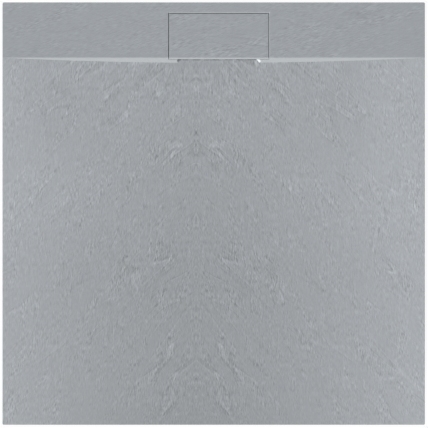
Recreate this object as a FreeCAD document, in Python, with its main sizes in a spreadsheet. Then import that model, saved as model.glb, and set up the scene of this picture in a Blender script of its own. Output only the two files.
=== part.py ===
"""Square cast shower tray with a dished floor, a flush drain cover, a low trap and eight adjustable legs.

Frame: +X to the right, +Y to the rear (the band with the cover), +Z up. The origin is on the floor under the
tray's centre. Sizes are in millimetres.
"""
import FreeCAD
import Part
import math
import os

import Sketcher

DRIVING_SIZES = (
    # the cast tray
    ("tray_width", 1000, "left side to right side"),
    ("tray_depth", 1000, "front edge to rear edge"),
    ("slab_thickness", 30, "underside to rim"),
    ("underside_height", 80, "floor to the tray's underside, with the legs as delivered"),
    ("corner_radius", 3, "the four upright corners"),
    ("band_depth", 130.5, "flat band along the rear edge"),
    ("dish_fall", 15.2, "depth of the dished floor at the middle of the step"),
    ("step_run", 11.8, "how far the inclined step reaches forward at full depth"),
    ("step_root", 3, "how far the step's wedge is rooted in the slab"),
    ("overcut", 2, "how far a cutting shape runs past the slab"),
    # cover and its rebate
    ("cover_offset", 12, "cover and drain to the right of the tray's centre line"),
    ("cover_width", 235.8, "left to right"),
    ("cover_inset", 26.8, "rear edge of the tray to rear edge of the cover"),
    ("cover_thickness", 6, "plate"),
    ("cover_gap", 1.2, "joint round the cover"),
    ("cover_chamfer", 0.5, "its three upper edges"),
    ("pad_thickness", 1, "soft pad under the cover"),
    ("pad_radius", 6, "soft pad"),
    ("pad_inset", 11, "cover's side to the pad's centre"),
    ("pad_end_inset", 13, "cover's rear edge, or its front edge below, to the pad's centre"),
    # recess under the cover
    ("drain_from_rear", 82, "rear edge of the tray to the drain's centre"),
    ("recess_width", 175, "at its floor"),
    ("recess_flare", 20, "how far each side leans out up to rim level"),
    ("recess_margin", 0.4, "recess floor round the flange rebate, front and rear"),
    ("lip_run", 4.9, "ramp from the recess floor up to the slot's floor"),
    ("apron_run", 13.6, "slot's floor, under and before the cover's front edge"),
    ("apron_fall", 0.95, "how far the slot's floor falls towards the recess"),
    ("apron_lift", 0.75, "slot's front edge above the dished floor's lowest line"),
    ("slot_widen", 2.2, "each end of the slot's floor beyond the recess floor"),
    ("apron_splay", 7.3, "how far each end of the slot opens forward"),
    ("seat_thickness", 8, "slab left under the flange"),
    # waste flange, gaskets and screws
    ("flange_radius", 51, "outer"),
    ("flange_thickness", 2, "plate"),
    ("flange_margin", 1, "rebate round the flange"),
    ("gasket_thickness", 2, "both flat gaskets"),
    ("waste_hole_radius", 45, "hole through the slab"),
    ("neck_bore_radius", 35, "flange's bore"),
    ("neck_wall", 2.5, "flange's neck"),
    ("lip_bore_radius", 31, "lip at the neck's foot, which the dip tube stands on"),
    ("lip_thickness", 2, "lip"),
    ("screw_circle_radius", 41, "four screws"),
    ("screw_radius", 2, "shank"),
    ("screw_head_radius", 3.8, "countersunk head"),
    ("screw_head_height", 1.8, "countersunk head"),
    ("screw_slot_length", 4.2, "cross slot in the head"),
    ("screw_slot_width", 1.1, "cross slot in the head"),
    ("screw_slot_depth", 0.9, "cross slot in the head"),
    ("screw_clearance", 0.2, "round the shank in the flange, and in the head's seat"),
    ("insert_radius", 2.7, "thread insert, outer"),
    ("insert_length", 10, "thread insert"),
    ("thread_clearance", 0.05, "between shank and insert"),
    # trap
    ("collar_clearance", 0.5, "trap collar in the waste hole"),
    ("collar_rise", 6, "trap collar above the slab's underside"),
    ("neck_clearance", 0.4, "flange's neck in the trap collar"),
    ("trap_flange_radius", 62, "outer"),
    ("trap_flange_thickness", 5, "plate"),
    ("trap_gasket_radius", 60, "outer"),
    ("bowl_radius", 50, "inner"),
    ("bowl_wall", 3, "bowl and its floor"),
    ("bowl_roof", 3, "inner shoulder below the trap flange"),
    ("bowl_bottom", 64, "slab's underside to the bowl's outer bottom"),
    ("bowl_edge_radius", 5, "round the bowl's bottom"),
    # lift-out insert
    ("rim_height", 8, "dip tube's rim above the lip"),
    ("rim_clearance", 1.4, "dip tube's rim in the neck"),
    ("rim_wall", 3.6, "dip tube's rim"),
    ("groove_width", 3, "for the O-ring"),
    ("groove_depth", 1.6, "for the O-ring"),
    ("groove_lift", 2.6, "lip to the O-ring groove"),
    ("ring_section_radius", 1.35, "O-ring"),
    ("ring_clearance", 0.12, "O-ring to the groove's floor and to the neck"),
    ("funnel_clearance", 0.5, "funnel in the lip's bore"),
    ("funnel_drop", 12, "lip to the funnel's foot"),
    ("dip_tube_radius", 20, "outer"),
    ("dip_tube_wall", 2, "tube and funnel"),
    ("dip_tube_drop", 48, "lip to the tube's lower end"),
    ("fin_thickness", 2, "three fins that hold the cup"),
    ("fin_height", 13, "fins"),
    ("fin_drop", 35, "lip to the fins' lower end"),
    ("cup_radius", 29.5, "outer"),
    ("cup_wall", 2, "cup and its floor"),
    ("cup_bottom", 59, "lip to the cup's outer bottom"),
    ("cup_rim_drop", 18, "lip to the cup's rim, the weir"),
    ("cup_clearance", 0.1, "fins in the cup"),
    # strainer
    ("strainer_thickness", 1.5, "perforated plate and skirt"),
    ("strainer_clearance", 0.5, "plate in the neck, and skirt in the dip tube's rim"),
    ("skirt_depth", 5, "skirt below the plate"),
    ("strainer_hole_radius", 2, "perforations"),
    ("knob_radius", 7, "knob"),
    ("knob_edge", 1.5, "bevels of the knob's edge"),
    ("knob_neck_radius", 3, "neck through the strainer"),
    ("knob_shoulder_radius", 4.5, "shoulder on the strainer"),
    ("knob_shoulder_height", 2.8, "above the strainer"),
    ("knob_snap_radius", 3.6, "snap below the strainer"),
    ("knob_snap_length", 3, "below the strainer"),
    ("knob_height", 8.5, "above the strainer"),
    ("knob_clearance", 0.05, "neck in the strainer's centre hole"),
    # outlet
    ("outlet_distance", 75, "drain's centre to the ball's centre"),
    ("outlet_drop", 36, "slab's underside to the outlet's centre line"),
    ("pipe_radius", 20, "outer"),
    ("pipe_wall", 2.5, "pipe"),
    ("pipe_length", 90, "ball's centre to the pipe's end"),
    ("pipe_chamfer", 1, "pipe's end"),
    ("ball_radius", 27, "ball end"),
    ("ball_reach", 14, "ball's centre to its flat inner end"),
    ("ball_clearance", 0.4, "round the ball"),
    ("socket_radius", 30, "outer, the nut's thread"),
    ("socket_reach", 2, "ball's centre to the socket's mouth"),
    ("chamber_reach", 18.5, "ball's centre to the chamber's back wall"),
    ("passage_radius", 18, "bore from the bowl into the chamber"),
    ("seal_reach", 15, "ball's centre to the lip ring's near face"),
    ("seal_mouth_radius", 22.9, "lip ring's bore at its near face"),
    ("seal_throat_radius", 20.6, "lip ring's bore at its far face"),
    ("seal_clearance", 0.2, "lip ring in the chamber"),
    ("nut_radius", 34, "outer"),
    ("nut_back_reach", 8, "ball's centre to the nut's rear end"),
    ("nut_front_reach", 11.5, "ball's centre to the nut's front face"),
    ("nut_lip_thickness", 3, "nut's front lip"),
    ("nut_lip_radius", 26, "nut's front opening"),
    ("nut_chamfer", 2, "nut's front edge"),
    ("nut_clearance", 0.3, "nut on the socket"),
    # legs
    ("leg_side_inset", 90, "side of the tray to the outer legs"),
    ("leg_front_inset", 90, "front of the tray to the front legs"),
    ("leg_rear_inset", 150, "rear of the tray to the rear legs, clear of the outlet pipe"),
    ("plate_radius", 45, "glued plate"),
    ("plate_thickness", 4, "glued plate"),
    ("gusset_radius", 24, "cone under the plate"),
    ("gusset_height", 8, "cone under the plate"),
    ("boss_radius", 17, "leg socket, outer"),
    ("boss_length", 44, "slab's underside to the socket's mouth"),
    ("socket_roof", 2, "slab's underside to the socket bore's end"),
    ("stem_radius", 12, "threaded stem"),
    ("stem_clearance", 0.3, "stem in socket and lock ring"),
    ("stem_drop", 14, "slab's underside to the stem's top"),
    ("stem_chamfer", 1.5, "stem's top"),
    ("ring_radius", 22, "lock ring"),
    ("ring_height", 9, "lock ring"),
    ("disc_radius", 35, "foot disc"),
    ("disc_thickness", 6, "foot disc"),
    ("hub_radius", 20, "cone on the foot disc"),
    ("hub_height", 4, "cone on the foot disc"),
    ("sole_thickness", 2, "rubber sole"),
    ("sole_inset", 1, "sole's edge inside the disc's edge"),
)
STRAINER_RINGS = ((9.5, 8), (16, 14), (22.5, 20))  # radius of each ring of perforations, and its count
SCREW_COUNT = 4  # at the corners of a square, so half a right angle off the X axis
SCREW_START_ANGLE = 45
FIN_COUNT = 3
LEG_PLACES = (  # column -1, 0, 1 from left to right, and row -1, 0, 1 from front to rear
    (-1, -1),
    (0, -1),
    (1, -1),
    (-1, 0),
    (0, 0),
    (1, 0),
    (-1, 1),
    (1, 1),
)

document = FreeCAD.newDocument("shower_tray")
nodes = []


# ---- sizes ----


class Size:
    """A length that knows its value in millimetres and its formula in the sheet's names."""

    def __init__(self, value, formula):
        self.value = float(value)
        self.formula = formula

    def __add__(self, other):
        other = as_size(other)
        return Size(self.value + other.value, f"({self.formula} + {other.formula})")

    def __radd__(self, other):
        return as_size(other) + self

    def __sub__(self, other):
        other = as_size(other)
        return Size(self.value - other.value, f"({self.formula} - {other.formula})")

    def __rsub__(self, other):
        return as_size(other) - self

    def __mul__(self, other):
        other = as_size(other)
        return Size(self.value * other.value, f"({self.formula} * {other.formula})")

    def __rmul__(self, other):
        return as_size(other) * self

    def __truediv__(self, other):
        other = as_size(other)
        return Size(self.value / other.value, f"({self.formula} / {other.formula})")

    def __neg__(self):
        return 0 - self


def as_size(number):
    """A plain number as a Size."""
    if isinstance(number, Size):
        return number
    return Size(number, f"{number:.10g}")


def square_root(length):
    return Size(math.sqrt(length.value), f"sqrt({length.formula})")


class DrivingSizes:
    """One attribute for each row of the sheet."""

    def __init__(self, rows):
        self.sheet = document.addObject("Spreadsheet::Sheet", "Sizes")
        for row, (alias, value, note) in enumerate(rows, start=1):
            self.sheet.set(f"A{row}", alias)
            self.sheet.set(f"B{row}", str(value))
            self.sheet.set(f"C{row}", note)
            self.sheet.setAlias(f"B{row}", alias)
            setattr(self, alias, Size(value, f"Sizes.{alias}"))
        document.recompute()


size = DrivingSizes(DRIVING_SIZES)


# ---- shared places, all measured up from the tray's underside ----

rim = size.slab_thickness
rear_edge = size.tray_depth / 2
right_edge = size.tray_width / 2
band_edge = rear_edge - size.band_depth
step_slope = size.step_run / size.dish_fall
cover_seat = rim - size.cover_thickness - size.pad_thickness
cover_underside = rim - size.cover_thickness
cover_rear = rear_edge - size.cover_inset
cover_front_below = band_edge - size.cover_thickness * step_slope
drain_y = rear_edge - size.drain_from_rear
gasket_top = size.seat_thickness + size.gasket_thickness
flange_top = gasket_top + size.flange_thickness
recess_half_length = size.flange_radius + size.flange_margin + size.recess_margin
neck_outer = size.neck_bore_radius + size.neck_wall
collar_inner = neck_outer + size.neck_clearance
collar_outer = size.waste_hole_radius - size.collar_clearance
insert_bottom = size.collar_rise - size.insert_length
screw_reach = size.screw_circle_radius / square_root(as_size(2))
trap_flange_top = -size.gasket_thickness
trap_flange_bottom = trap_flange_top - size.trap_flange_thickness
bowl_outer = size.bowl_radius + size.bowl_wall
lip_top = as_size(0)
strainer_bottom = lip_top + size.rim_height
strainer_top = strainer_bottom + size.strainer_thickness
rim_outer = size.neck_bore_radius - size.rim_clearance
rim_inner = rim_outer - size.rim_wall
ring_bottom = -(size.boss_length + size.ring_height)
sole_bottom = -size.underside_height
sole_top = sole_bottom + size.sole_thickness
disc_top = sole_top + size.disc_thickness


# ---- drawing helpers ----


def bind(item, prop, length):
    item.setExpression(prop, as_size(length).formula)


def place(item, x, y, z):
    for axis, length in zip("xyz", (x, y, z)):
        bind(item, f"Placement.Base.{axis}", length)


def new_body(label):
    body = document.addObject("PartDesign::Body", label)
    body.Label = label
    nodes.append(body)
    return body


def origin_feature(body, role):
    return next(feature for feature in body.Origin.OriginFeatures if feature.Role == role)


def new_sketch(body, name, role, offset=0):
    """Sketch on one of the body's origin planes, moved along the plane's normal."""
    sketch = body.newObject("Sketcher::SketchObject", f"{body.Name}_{name}")
    sketch.AttachmentSupport = [(origin_feature(body, role), "")]
    sketch.MapMode = "FlatFace"
    bind(sketch, "AttachmentOffset.Base.z", offset)
    return sketch


def limit(sketch, kind, references, length):
    """A dimension of the sketch, bound to the sheet."""
    index = sketch.addConstraint(Sketcher.Constraint(kind, *references, length.value))
    bind(sketch, f"Constraints[{index}]", length)


def hold(sketch, line, end, point):
    """Holds one end of a line at its two distances from the sketch's origin."""
    for kind, length, axis in (("DistanceX", point[0], -2), ("DistanceY", point[1], -1)):
        length = as_size(length)
        if abs(length.value) < 1e-9:
            sketch.addConstraint(Sketcher.Constraint("PointOnObject", line, end, axis))
        else:
            limit(sketch, kind, (-1, 1, line, end), length)


def flat(x, y):
    return FreeCAD.Vector(as_size(x).value, as_size(y).value, 0)


def draw_outline(sketch, points, arcs=None):
    """Closed outline through the points. arcs gives, for some sides, a point on the arc and its radius."""
    arcs = arcs or {}
    count = len(points)
    first = sketch.GeometryCount
    for index in range(count):
        start = flat(*points[index])
        end = flat(*points[(index + 1) % count])
        if index in arcs:
            middle, _ = arcs[index]
            sketch.addGeometry(Part.Arc(start, flat(*middle), end), False)
        else:
            sketch.addGeometry(Part.LineSegment(start, end), False)
    ends = []
    for index in range(count):
        curve = sketch.Geometry[first + index]
        forward = curve.StartPoint.distanceToPoint(flat(*points[index])) < 1e-6
        ends.append((1, 2) if forward else (2, 1))
    for index in range(count):
        following = (index + 1) % count
        joined = ("Coincident", first + index, ends[index][1], first + following, ends[following][0])
        sketch.addConstraint(Sketcher.Constraint(*joined))
        hold(sketch, first + index, ends[index][0], points[index])
    for index, (_, radius) in arcs.items():
        limit(sketch, "Radius", (first + index,), as_size(radius))


def draw_box(sketch, left, right, low, high):
    draw_outline(sketch, ((left, low), (right, low), (right, high), (left, high)))


def draw_circle(sketch, x, y, radius):
    normal = FreeCAD.Vector(0, 0, 1)
    line = sketch.addGeometry(Part.Circle(flat(x, y), normal, as_size(radius).value), False)
    hold(sketch, line, 3, (x, y))
    limit(sketch, "Radius", (line,), as_size(radius))


# ---- feature helpers ----


def pad(body, sketch, length, backward=False):
    feature = body.newObject("PartDesign::Pad", f"{sketch.Name}_pad")
    feature.Profile = sketch
    feature.Reversed = backward
    bind(feature, "Length", length)
    return feature


def pocket(body, sketch, depth, backward=False):
    """Cut against the sketch's normal, or along it when backward. It has to take material away."""
    document.recompute()
    before = body.Shape.Volume
    feature = body.newObject("PartDesign::Pocket", f"{sketch.Name}_pocket")
    feature.Profile = sketch
    feature.Reversed = backward
    bind(feature, "Length", depth)
    document.recompute()
    if not body.Shape.Volume < before:
        raise RuntimeError(f"{feature.Name} cuts nothing")
    return feature


def revolve(body, sketch, axis="V_Axis"):
    feature = body.newObject("PartDesign::Revolution", f"{sketch.Name}_turn")
    feature.Profile = sketch
    feature.ReferenceAxis = (sketch, [axis])
    feature.Angle = 360
    return feature


def groove(body, sketch, axis="V_Axis"):
    document.recompute()
    before = body.Shape.Volume
    feature = body.newObject("PartDesign::Groove", f"{sketch.Name}_groove")
    feature.Profile = sketch
    feature.ReferenceAxis = (sketch, [axis])
    feature.Angle = 360
    document.recompute()
    if not body.Shape.Volume < before:
        raise RuntimeError(f"{feature.Name} cuts nothing")
    return feature


def cut_loft(body, name, sketches):
    """Ruled cut through the sketches."""
    document.recompute()
    before = body.Shape.Volume
    feature = body.newObject("PartDesign::SubtractiveLoft", f"{body.Name}_{name}")
    feature.Profile = sketches[0]
    feature.Sections = sketches[1:]
    feature.Ruled = True
    document.recompute()
    if not body.Shape.Volume < before:
        raise RuntimeError(f"{feature.Name} cuts nothing")


def repeat_round(body, originals, count):
    """Copies the features round the body's Z axis."""
    pattern = body.newObject("PartDesign::PolarPattern", f"{originals[0].Name}_round")
    pattern.Originals = originals
    pattern.Axis = (origin_feature(body, "Z_Axis"), [""])
    pattern.Angle = 360
    pattern.Occurrences = count
    body.Tip = pattern
    document.recompute()


def turned_body(label, outline, arcs=None, role="XZ_Plane", axis="V_Axis"):
    """A body turned from one outline."""
    body = new_body(label)
    sketch = new_sketch(body, "outline", role)
    draw_outline(sketch, outline, arcs)
    revolve(body, sketch, axis)
    document.recompute()
    return body


def edges_where(shape, wanted):
    """Names of the edges whose two ends satisfy wanted."""
    names = []
    for number, edge in enumerate(shape.Edges, start=1):
        ends = [vertex.Point for vertex in edge.Vertexes]
        if len(ends) == 2 and wanted(*ends):
            names.append(f"Edge{number}")
    return names


def near(first, second):
    return abs(first - second) < 1e-4


def dress(body, kind, prop, base, edges, length):
    """Fillet or chamfer on the named edges of base."""
    feature = body.newObject(f"PartDesign::{kind}", f"{base.Name}_{kind.lower()}")
    feature.Base = (base, edges)
    bind(feature, prop, length)
    document.recompute()


def cylinder(name, radius, height, x, y, z):
    item = document.addObject("Part::Cylinder", name)
    bind(item, "Radius", radius)
    bind(item, "Height", height)
    place(item, x, y, z)
    return item


def cut(name, base, tool):
    item = document.addObject("Part::Cut", name)
    item.Base = base
    item.Tool = tool
    return item


def group_node(label, members):
    """One node that holds several equal, separate solids."""
    group = document.addObject("Part::Compound", label)
    group.Label = label
    group.Links = members
    nodes.append(group)


# ---- the tray and its cover ----


def section_across(body, name, y, left, right, low, high, lean=0):
    """Trapezoid across the tray at y, whose sides lean out towards the top."""
    sketch = new_sketch(body, name, "XZ_Plane", -as_size(y))
    corners = ((left, low), (right, low), (right + lean, high), (left - lean, high))
    draw_outline(sketch, corners)
    return sketch


def cast_slab(body):
    sketch = new_sketch(body, "plan", "XY_Plane")
    draw_box(sketch, -right_edge, right_edge, -rear_edge, rear_edge)
    slab = pad(body, sketch, size.slab_thickness)
    document.recompute()
    upright = edges_where(slab.Shape, lambda a, b: near(a.x, b.x) and near(a.y, b.y))
    dress(body, "Fillet", "Radius", slab, upright, size.corner_radius)


def dish_floor(body):
    """Ruled floor: an arc under the band's edge, drawn forward to a straight line at rim level."""
    half = right_edge + size.overcut
    high = rim + size.overcut
    fall = size.dish_fall
    arc_radius = (half * half + fall * fall) / (2 * fall)
    rear = new_sketch(body, "dish_rear", "XZ_Plane", -band_edge)
    corners = ((-half, rim), (half, rim), (half, high), (-half, high))
    draw_outline(rear, corners, {0: ((0, rim - fall), arc_radius)})
    front = section_across(body, "dish_front", -(rear_edge + size.overcut), -half, half, rim, high)
    cut_loft(body, "dish", [rear, front])


def inclined_step(body):
    """Wedge that turns the upright end of the dish into a slope; its foot in the curved floor is curved."""
    root_depth = size.dish_fall + size.step_root
    foot = band_edge - root_depth * step_slope
    back = band_edge + size.step_root
    sketch = new_sketch(body, "step", "YZ_Plane", -right_edge)
    draw_outline(
        sketch,
        ((foot, rim - root_depth), (back, rim - root_depth), (back, rim), (band_edge, rim)),
    )
    pad(body, sketch, size.tray_width)
    document.recompute()


def cover_rebate(body):
    half = size.cover_width / 2 + size.cover_gap
    front = band_edge - size.step_run
    sketch = new_sketch(body, "rebate", "XY_Plane", rim)
    draw_box(
        sketch, size.cover_offset - half, size.cover_offset + half, front, cover_rear + size.cover_gap
    )
    pocket(body, sketch, rim - cover_seat)


def drain_recess(body):
    """Recess round the drain. The dished floor runs on into it in a splayed slot under the cover."""
    high = rim + size.overcut
    apron_start = drain_y - recess_half_length
    apron_end = apron_start - size.apron_run
    apron_floor = rim - size.dish_fall + size.apron_lift
    half = size.recess_width / 2
    sections = []
    for name, y, widen, low in (
        ("recess_rear", drain_y + recess_half_length, as_size(0), flange_top),
        ("recess_front", apron_start + size.lip_run, as_size(0), flange_top),
        ("apron_start", apron_start, size.slot_widen, apron_floor - size.apron_fall),
        ("apron_end", apron_end, size.slot_widen + size.apron_splay, apron_floor),
    ):
        left = size.cover_offset - half - widen
        right = size.cover_offset + half + widen
        sections.append(section_across(body, name, y, left, right, low, high, size.recess_flare))
    cut_loft(body, "recess", sections)


def waste_hole(body):
    for name, radius, depth in (
        ("flange_rebate", size.flange_radius + size.flange_margin, rim - size.seat_thickness),
        ("waste_hole", size.waste_hole_radius, rim + size.overcut),
    ):
        sketch = new_sketch(body, name, "XY_Plane", rim)
        draw_circle(sketch, size.cover_offset, drain_y, radius)
        pocket(body, sketch, depth)


def tray_body():
    body = new_body("tray_body")
    cast_slab(body)
    dish_floor(body)
    inclined_step(body)
    cover_rebate(body)
    drain_recess(body)
    waste_hole(body)
    place(body, 0, 0, size.underside_height)


def drain_cover():
    """Plate whose front edge lies in the inclined step's plane."""
    body = new_body("drain_cover")
    sketch = new_sketch(body, "side", "YZ_Plane", -size.cover_width / 2)
    draw_outline(
        sketch,
        (
            (cover_front_below, cover_underside),
            (cover_rear, cover_underside),
            (cover_rear, rim),
            (band_edge, rim),
        ),
    )
    plate = pad(body, sketch, size.cover_width)
    document.recompute()
    top = rim.value
    front = band_edge.value
    upper = edges_where(
        plate.Shape,
        lambda a, b: near(a.z, top) and near(b.z, top) and not (near(a.y, front) and near(b.y, front)),
    )
    dress(body, "Chamfer", "Size", plate, upper, size.cover_chamfer)
    place(body, size.cover_offset, 0, size.underside_height)


def cover_pads():
    side = size.cover_width / 2 - size.pad_inset
    members = []
    for column, x in (("left", size.cover_offset - side), ("right", size.cover_offset + side)):
        for row, y in (
            ("front", cover_front_below + size.pad_end_inset),
            ("rear", cover_rear - size.pad_end_inset),
        ):
            name = f"pad_{row}_{column}"
            z = size.underside_height + cover_seat
            members.append(cylinder(name, size.pad_radius, size.pad_thickness, x, y, z))
    group_node("cover_pads", members)


# ---- flange, gaskets and screws, all round the drain's axis ----


def place_at_drain(item):
    place(item, size.cover_offset, drain_y, size.underside_height)


def waste_flange():
    lip_bottom = lip_top - size.lip_thickness
    body = turned_body(
        "waste_flange",
        (
            (size.neck_bore_radius, flange_top),
            (size.flange_radius, flange_top),
            (size.flange_radius, gasket_top),
            (neck_outer, gasket_top),
            (neck_outer, lip_bottom),
            (size.lip_bore_radius, lip_bottom),
            (size.lip_bore_radius, lip_top),
            (size.neck_bore_radius, lip_top),
        ),
    )
    sketch = new_sketch(body, "screw_seat", "XZ_Plane")
    axis_x = size.screw_circle_radius
    shank = size.screw_radius + size.screw_clearance
    head = size.screw_head_radius + size.screw_clearance
    below = gasket_top - size.overcut
    draw_outline(
        sketch,
        (
            (axis_x, below),
            (axis_x + shank, below),
            (axis_x + shank, flange_top - size.screw_head_height),
            (axis_x + head, flange_top),
            (axis_x, flange_top),
        ),
    )
    axis = sketch.addGeometry(Part.LineSegment(flat(axis_x, below), flat(axis_x, flange_top)), True)
    hold(sketch, axis, 1, (axis_x, below))
    hold(sketch, axis, 2, (axis_x, flange_top))
    seat = groove(body, sketch, "Axis0")
    repeat_round(body, [seat], SCREW_COUNT)
    body.setExpression("Placement.Rotation.Angle", str(SCREW_START_ANGLE))
    place_at_drain(body)


def flat_ring(label, inner, outer, bottom, thickness):
    body = new_body(label)
    sketch = new_sketch(body, "ring", "XY_Plane", bottom)
    draw_circle(sketch, 0, 0, inner)
    draw_circle(sketch, 0, 0, outer)
    pad(body, sketch, thickness)
    document.recompute()
    place_at_drain(body)


def flat_gaskets():
    inner = size.waste_hole_radius
    flat_ring("flange_gasket", inner, size.flange_radius, size.seat_thickness, size.gasket_thickness)
    flat_ring("trap_gasket", inner, size.trap_gasket_radius, trap_flange_top, size.gasket_thickness)


def screw_positions():
    """Number, x and y of each flange screw."""
    number = 0
    for side_y in (-1, 1):
        for side_x in (-1, 1):
            number += 1
            yield number, size.cover_offset + side_x * screw_reach, drain_y + side_y * screw_reach


def countersunk_screw(number, x, y):
    top = size.underside_height + flange_top
    bottom = size.underside_height + insert_bottom
    head = document.addObject("Part::Cone", f"screw_head_{number}")
    bind(head, "Radius1", size.screw_radius)
    bind(head, "Radius2", size.screw_head_radius)
    bind(head, "Height", size.screw_head_height)
    place(head, x, y, top - size.screw_head_height)
    shank_length = top - size.screw_head_height - bottom
    shank = cylinder(f"screw_shank_{number}", size.screw_radius, shank_length, x, y, bottom)
    blank = document.addObject("Part::Fuse", f"screw_blank_{number}")
    blank.Base = head
    blank.Tool = shank
    slots = []
    for way, along_x, along_y in (
        ("x", size.screw_slot_length, size.screw_slot_width),
        ("y", size.screw_slot_width, size.screw_slot_length),
    ):
        slot = document.addObject("Part::Box", f"screw_slot_{way}_{number}")
        bind(slot, "Length", along_x)
        bind(slot, "Width", along_y)
        bind(slot, "Height", size.screw_slot_depth + size.overcut)
        place(slot, x - along_x / 2, y - along_y / 2, top - size.screw_slot_depth)
        slots.append(slot)
    cross = document.addObject("Part::Fuse", f"screw_cross_{number}")
    cross.Base, cross.Tool = slots
    return cut(f"screw_{number}", blank, cross)


def screws_and_inserts():
    screws = []
    inserts = []
    bottom = size.underside_height + insert_bottom
    for number, x, y in screw_positions():
        screws.append(countersunk_screw(number, x, y))
        outer = cylinder(f"insert_outer_{number}", size.insert_radius, size.insert_length, x, y, bottom)
        bore_radius = size.screw_radius + size.thread_clearance
        bore = cylinder(f"insert_bore_{number}", bore_radius, size.insert_length, x, y, bottom)
        inserts.append(cut(f"insert_{number}", outer, bore))
    group_node("flange_screws", screws)
    group_node("thread_inserts", inserts)


# ---- trap ----


def trap_body():
    """Bowl with flange and collar, and the socket for the outlet's ball on its left."""
    bottom = -size.bowl_bottom
    body = turned_body(
        "trap_body",
        (
            (0, bottom),
            (bowl_outer, bottom),
            (bowl_outer, trap_flange_bottom),
            (size.trap_flange_radius, trap_flange_bottom),
            (size.trap_flange_radius, trap_flange_top),
            (collar_outer, trap_flange_top),
            (collar_outer, size.collar_rise),
            (0, size.collar_rise),
        ),
    )
    low = bottom.value
    bottom_edge = [
        f"Edge{number}"
        for number, edge in enumerate(body.Tip.Shape.Edges, start=1)
        if near(edge.BoundBox.ZMin, low) and near(edge.BoundBox.ZMax, low)
    ]
    dress(body, "Fillet", "Radius", body.Tip, bottom_edge, size.bowl_edge_radius)

    mouth = size.outlet_distance + size.socket_reach
    socket = new_sketch(body, "socket", "YZ_Plane", -mouth)
    draw_circle(socket, 0, -size.outlet_drop, size.socket_radius)
    pad(body, socket, mouth - size.bowl_radius / 2)
    document.recompute()

    hollow = new_sketch(body, "hollow", "XZ_Plane")
    floor = bottom + size.bowl_wall
    roof = trap_flange_bottom - size.bowl_roof
    draw_outline(
        hollow,
        (
            (0, floor),
            (size.bowl_radius, floor),
            (size.bowl_radius, roof),
            (collar_inner, roof),
            (collar_inner, size.collar_rise),
            (0, size.collar_rise),
        ),
    )
    groove(body, hollow)

    chamber_radius = size.ball_radius + size.ball_clearance
    for name, radius, depth in (
        ("chamber", chamber_radius, size.socket_reach + size.chamber_reach),
        ("passage", size.passage_radius, mouth - size.bowl_radius / 2),
    ):
        sketch = new_sketch(body, name, "YZ_Plane", -mouth)
        draw_circle(sketch, 0, -size.outlet_drop, radius)
        pocket(body, sketch, depth, backward=True)

    seat = new_sketch(body, "insert_hole", "XY_Plane", size.collar_rise)
    draw_circle(seat, screw_reach, screw_reach, size.insert_radius)
    repeat_round(body, [pocket(body, seat, size.insert_length)], SCREW_COUNT)
    place_at_drain(body)


def dip_tube():
    """Funnel that stands on the flange's lip, its tube, and three fins that hold the cup."""
    tube_inner = size.dip_tube_radius - size.dip_tube_wall
    funnel_outer = size.lip_bore_radius - size.funnel_clearance
    funnel_inner = funnel_outer - size.dip_tube_wall
    groove_floor = rim_outer - size.groove_depth
    groove_top = size.groove_lift + size.groove_width
    body = turned_body(
        "dip_tube",
        (
            (rim_inner, strainer_bottom),
            (rim_outer, strainer_bottom),
            (rim_outer, groove_top),
            (groove_floor, groove_top),
            (groove_floor, size.groove_lift),
            (rim_outer, size.groove_lift),
            (rim_outer, lip_top),
            (funnel_outer, lip_top),
            (size.dip_tube_radius, -size.funnel_drop),
            (size.dip_tube_radius, -size.dip_tube_drop),
            (tube_inner, -size.dip_tube_drop),
            (tube_inner, -size.funnel_drop),
            (funnel_inner, lip_top),
            (rim_inner, size.dip_tube_wall),
        ),
    )
    fin = new_sketch(body, "fin", "XY_Plane", -size.fin_drop)
    half = size.fin_thickness / 2
    inner = size.dip_tube_radius - size.dip_tube_wall / 2
    outer = size.cup_radius - size.cup_wall - size.cup_clearance
    draw_box(fin, inner, outer, -half, half)
    repeat_round(body, [pad(body, fin, size.fin_height)], FIN_COUNT)
    place_at_drain(body)


def dip_tube_seal():
    ring = document.addObject("Part::Torus", "dip_tube_seal")
    ring.Label = "dip_tube_seal"
    groove_floor = rim_outer - size.groove_depth
    bind(ring, "Radius1", groove_floor + size.ring_clearance + size.ring_section_radius)
    bind(ring, "Radius2", size.ring_section_radius)
    level = size.groove_lift + size.groove_width / 2
    place(ring, size.cover_offset, drain_y, size.underside_height + level)
    nodes.append(ring)


def trap_cup():
    inner = size.cup_radius - size.cup_wall
    bottom = -size.cup_bottom
    body = turned_body(
        "trap_cup",
        (
            (0, bottom),
            (size.cup_radius, bottom),
            (size.cup_radius, -size.cup_rim_drop),
            (inner, -size.cup_rim_drop),
            (inner, bottom + size.cup_wall),
            (0, bottom + size.cup_wall),
        ),
    )
    place_at_drain(body)


def hair_strainer():
    edge = size.neck_bore_radius - size.strainer_clearance
    skirt_outer = rim_inner - size.strainer_clearance
    skirt_inner = skirt_outer - size.strainer_thickness
    centre = size.knob_neck_radius + size.knob_clearance
    skirt_bottom = strainer_bottom - size.skirt_depth
    body = turned_body(
        "hair_strainer",
        (
            (centre, strainer_bottom),
            (skirt_inner, strainer_bottom),
            (skirt_inner, skirt_bottom),
            (skirt_outer, skirt_bottom),
            (skirt_outer, strainer_bottom),
            (edge, strainer_bottom),
            (edge, strainer_top),
            (centre, strainer_top),
        ),
    )
    for number, (radius, count) in enumerate(STRAINER_RINGS, start=1):
        sketch = new_sketch(body, f"hole_{number}", "XY_Plane", strainer_top)
        draw_circle(sketch, radius, 0, size.strainer_hole_radius)
        repeat_round(body, [pocket(body, sketch, size.strainer_thickness)], count)
    place_at_drain(body)


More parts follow.
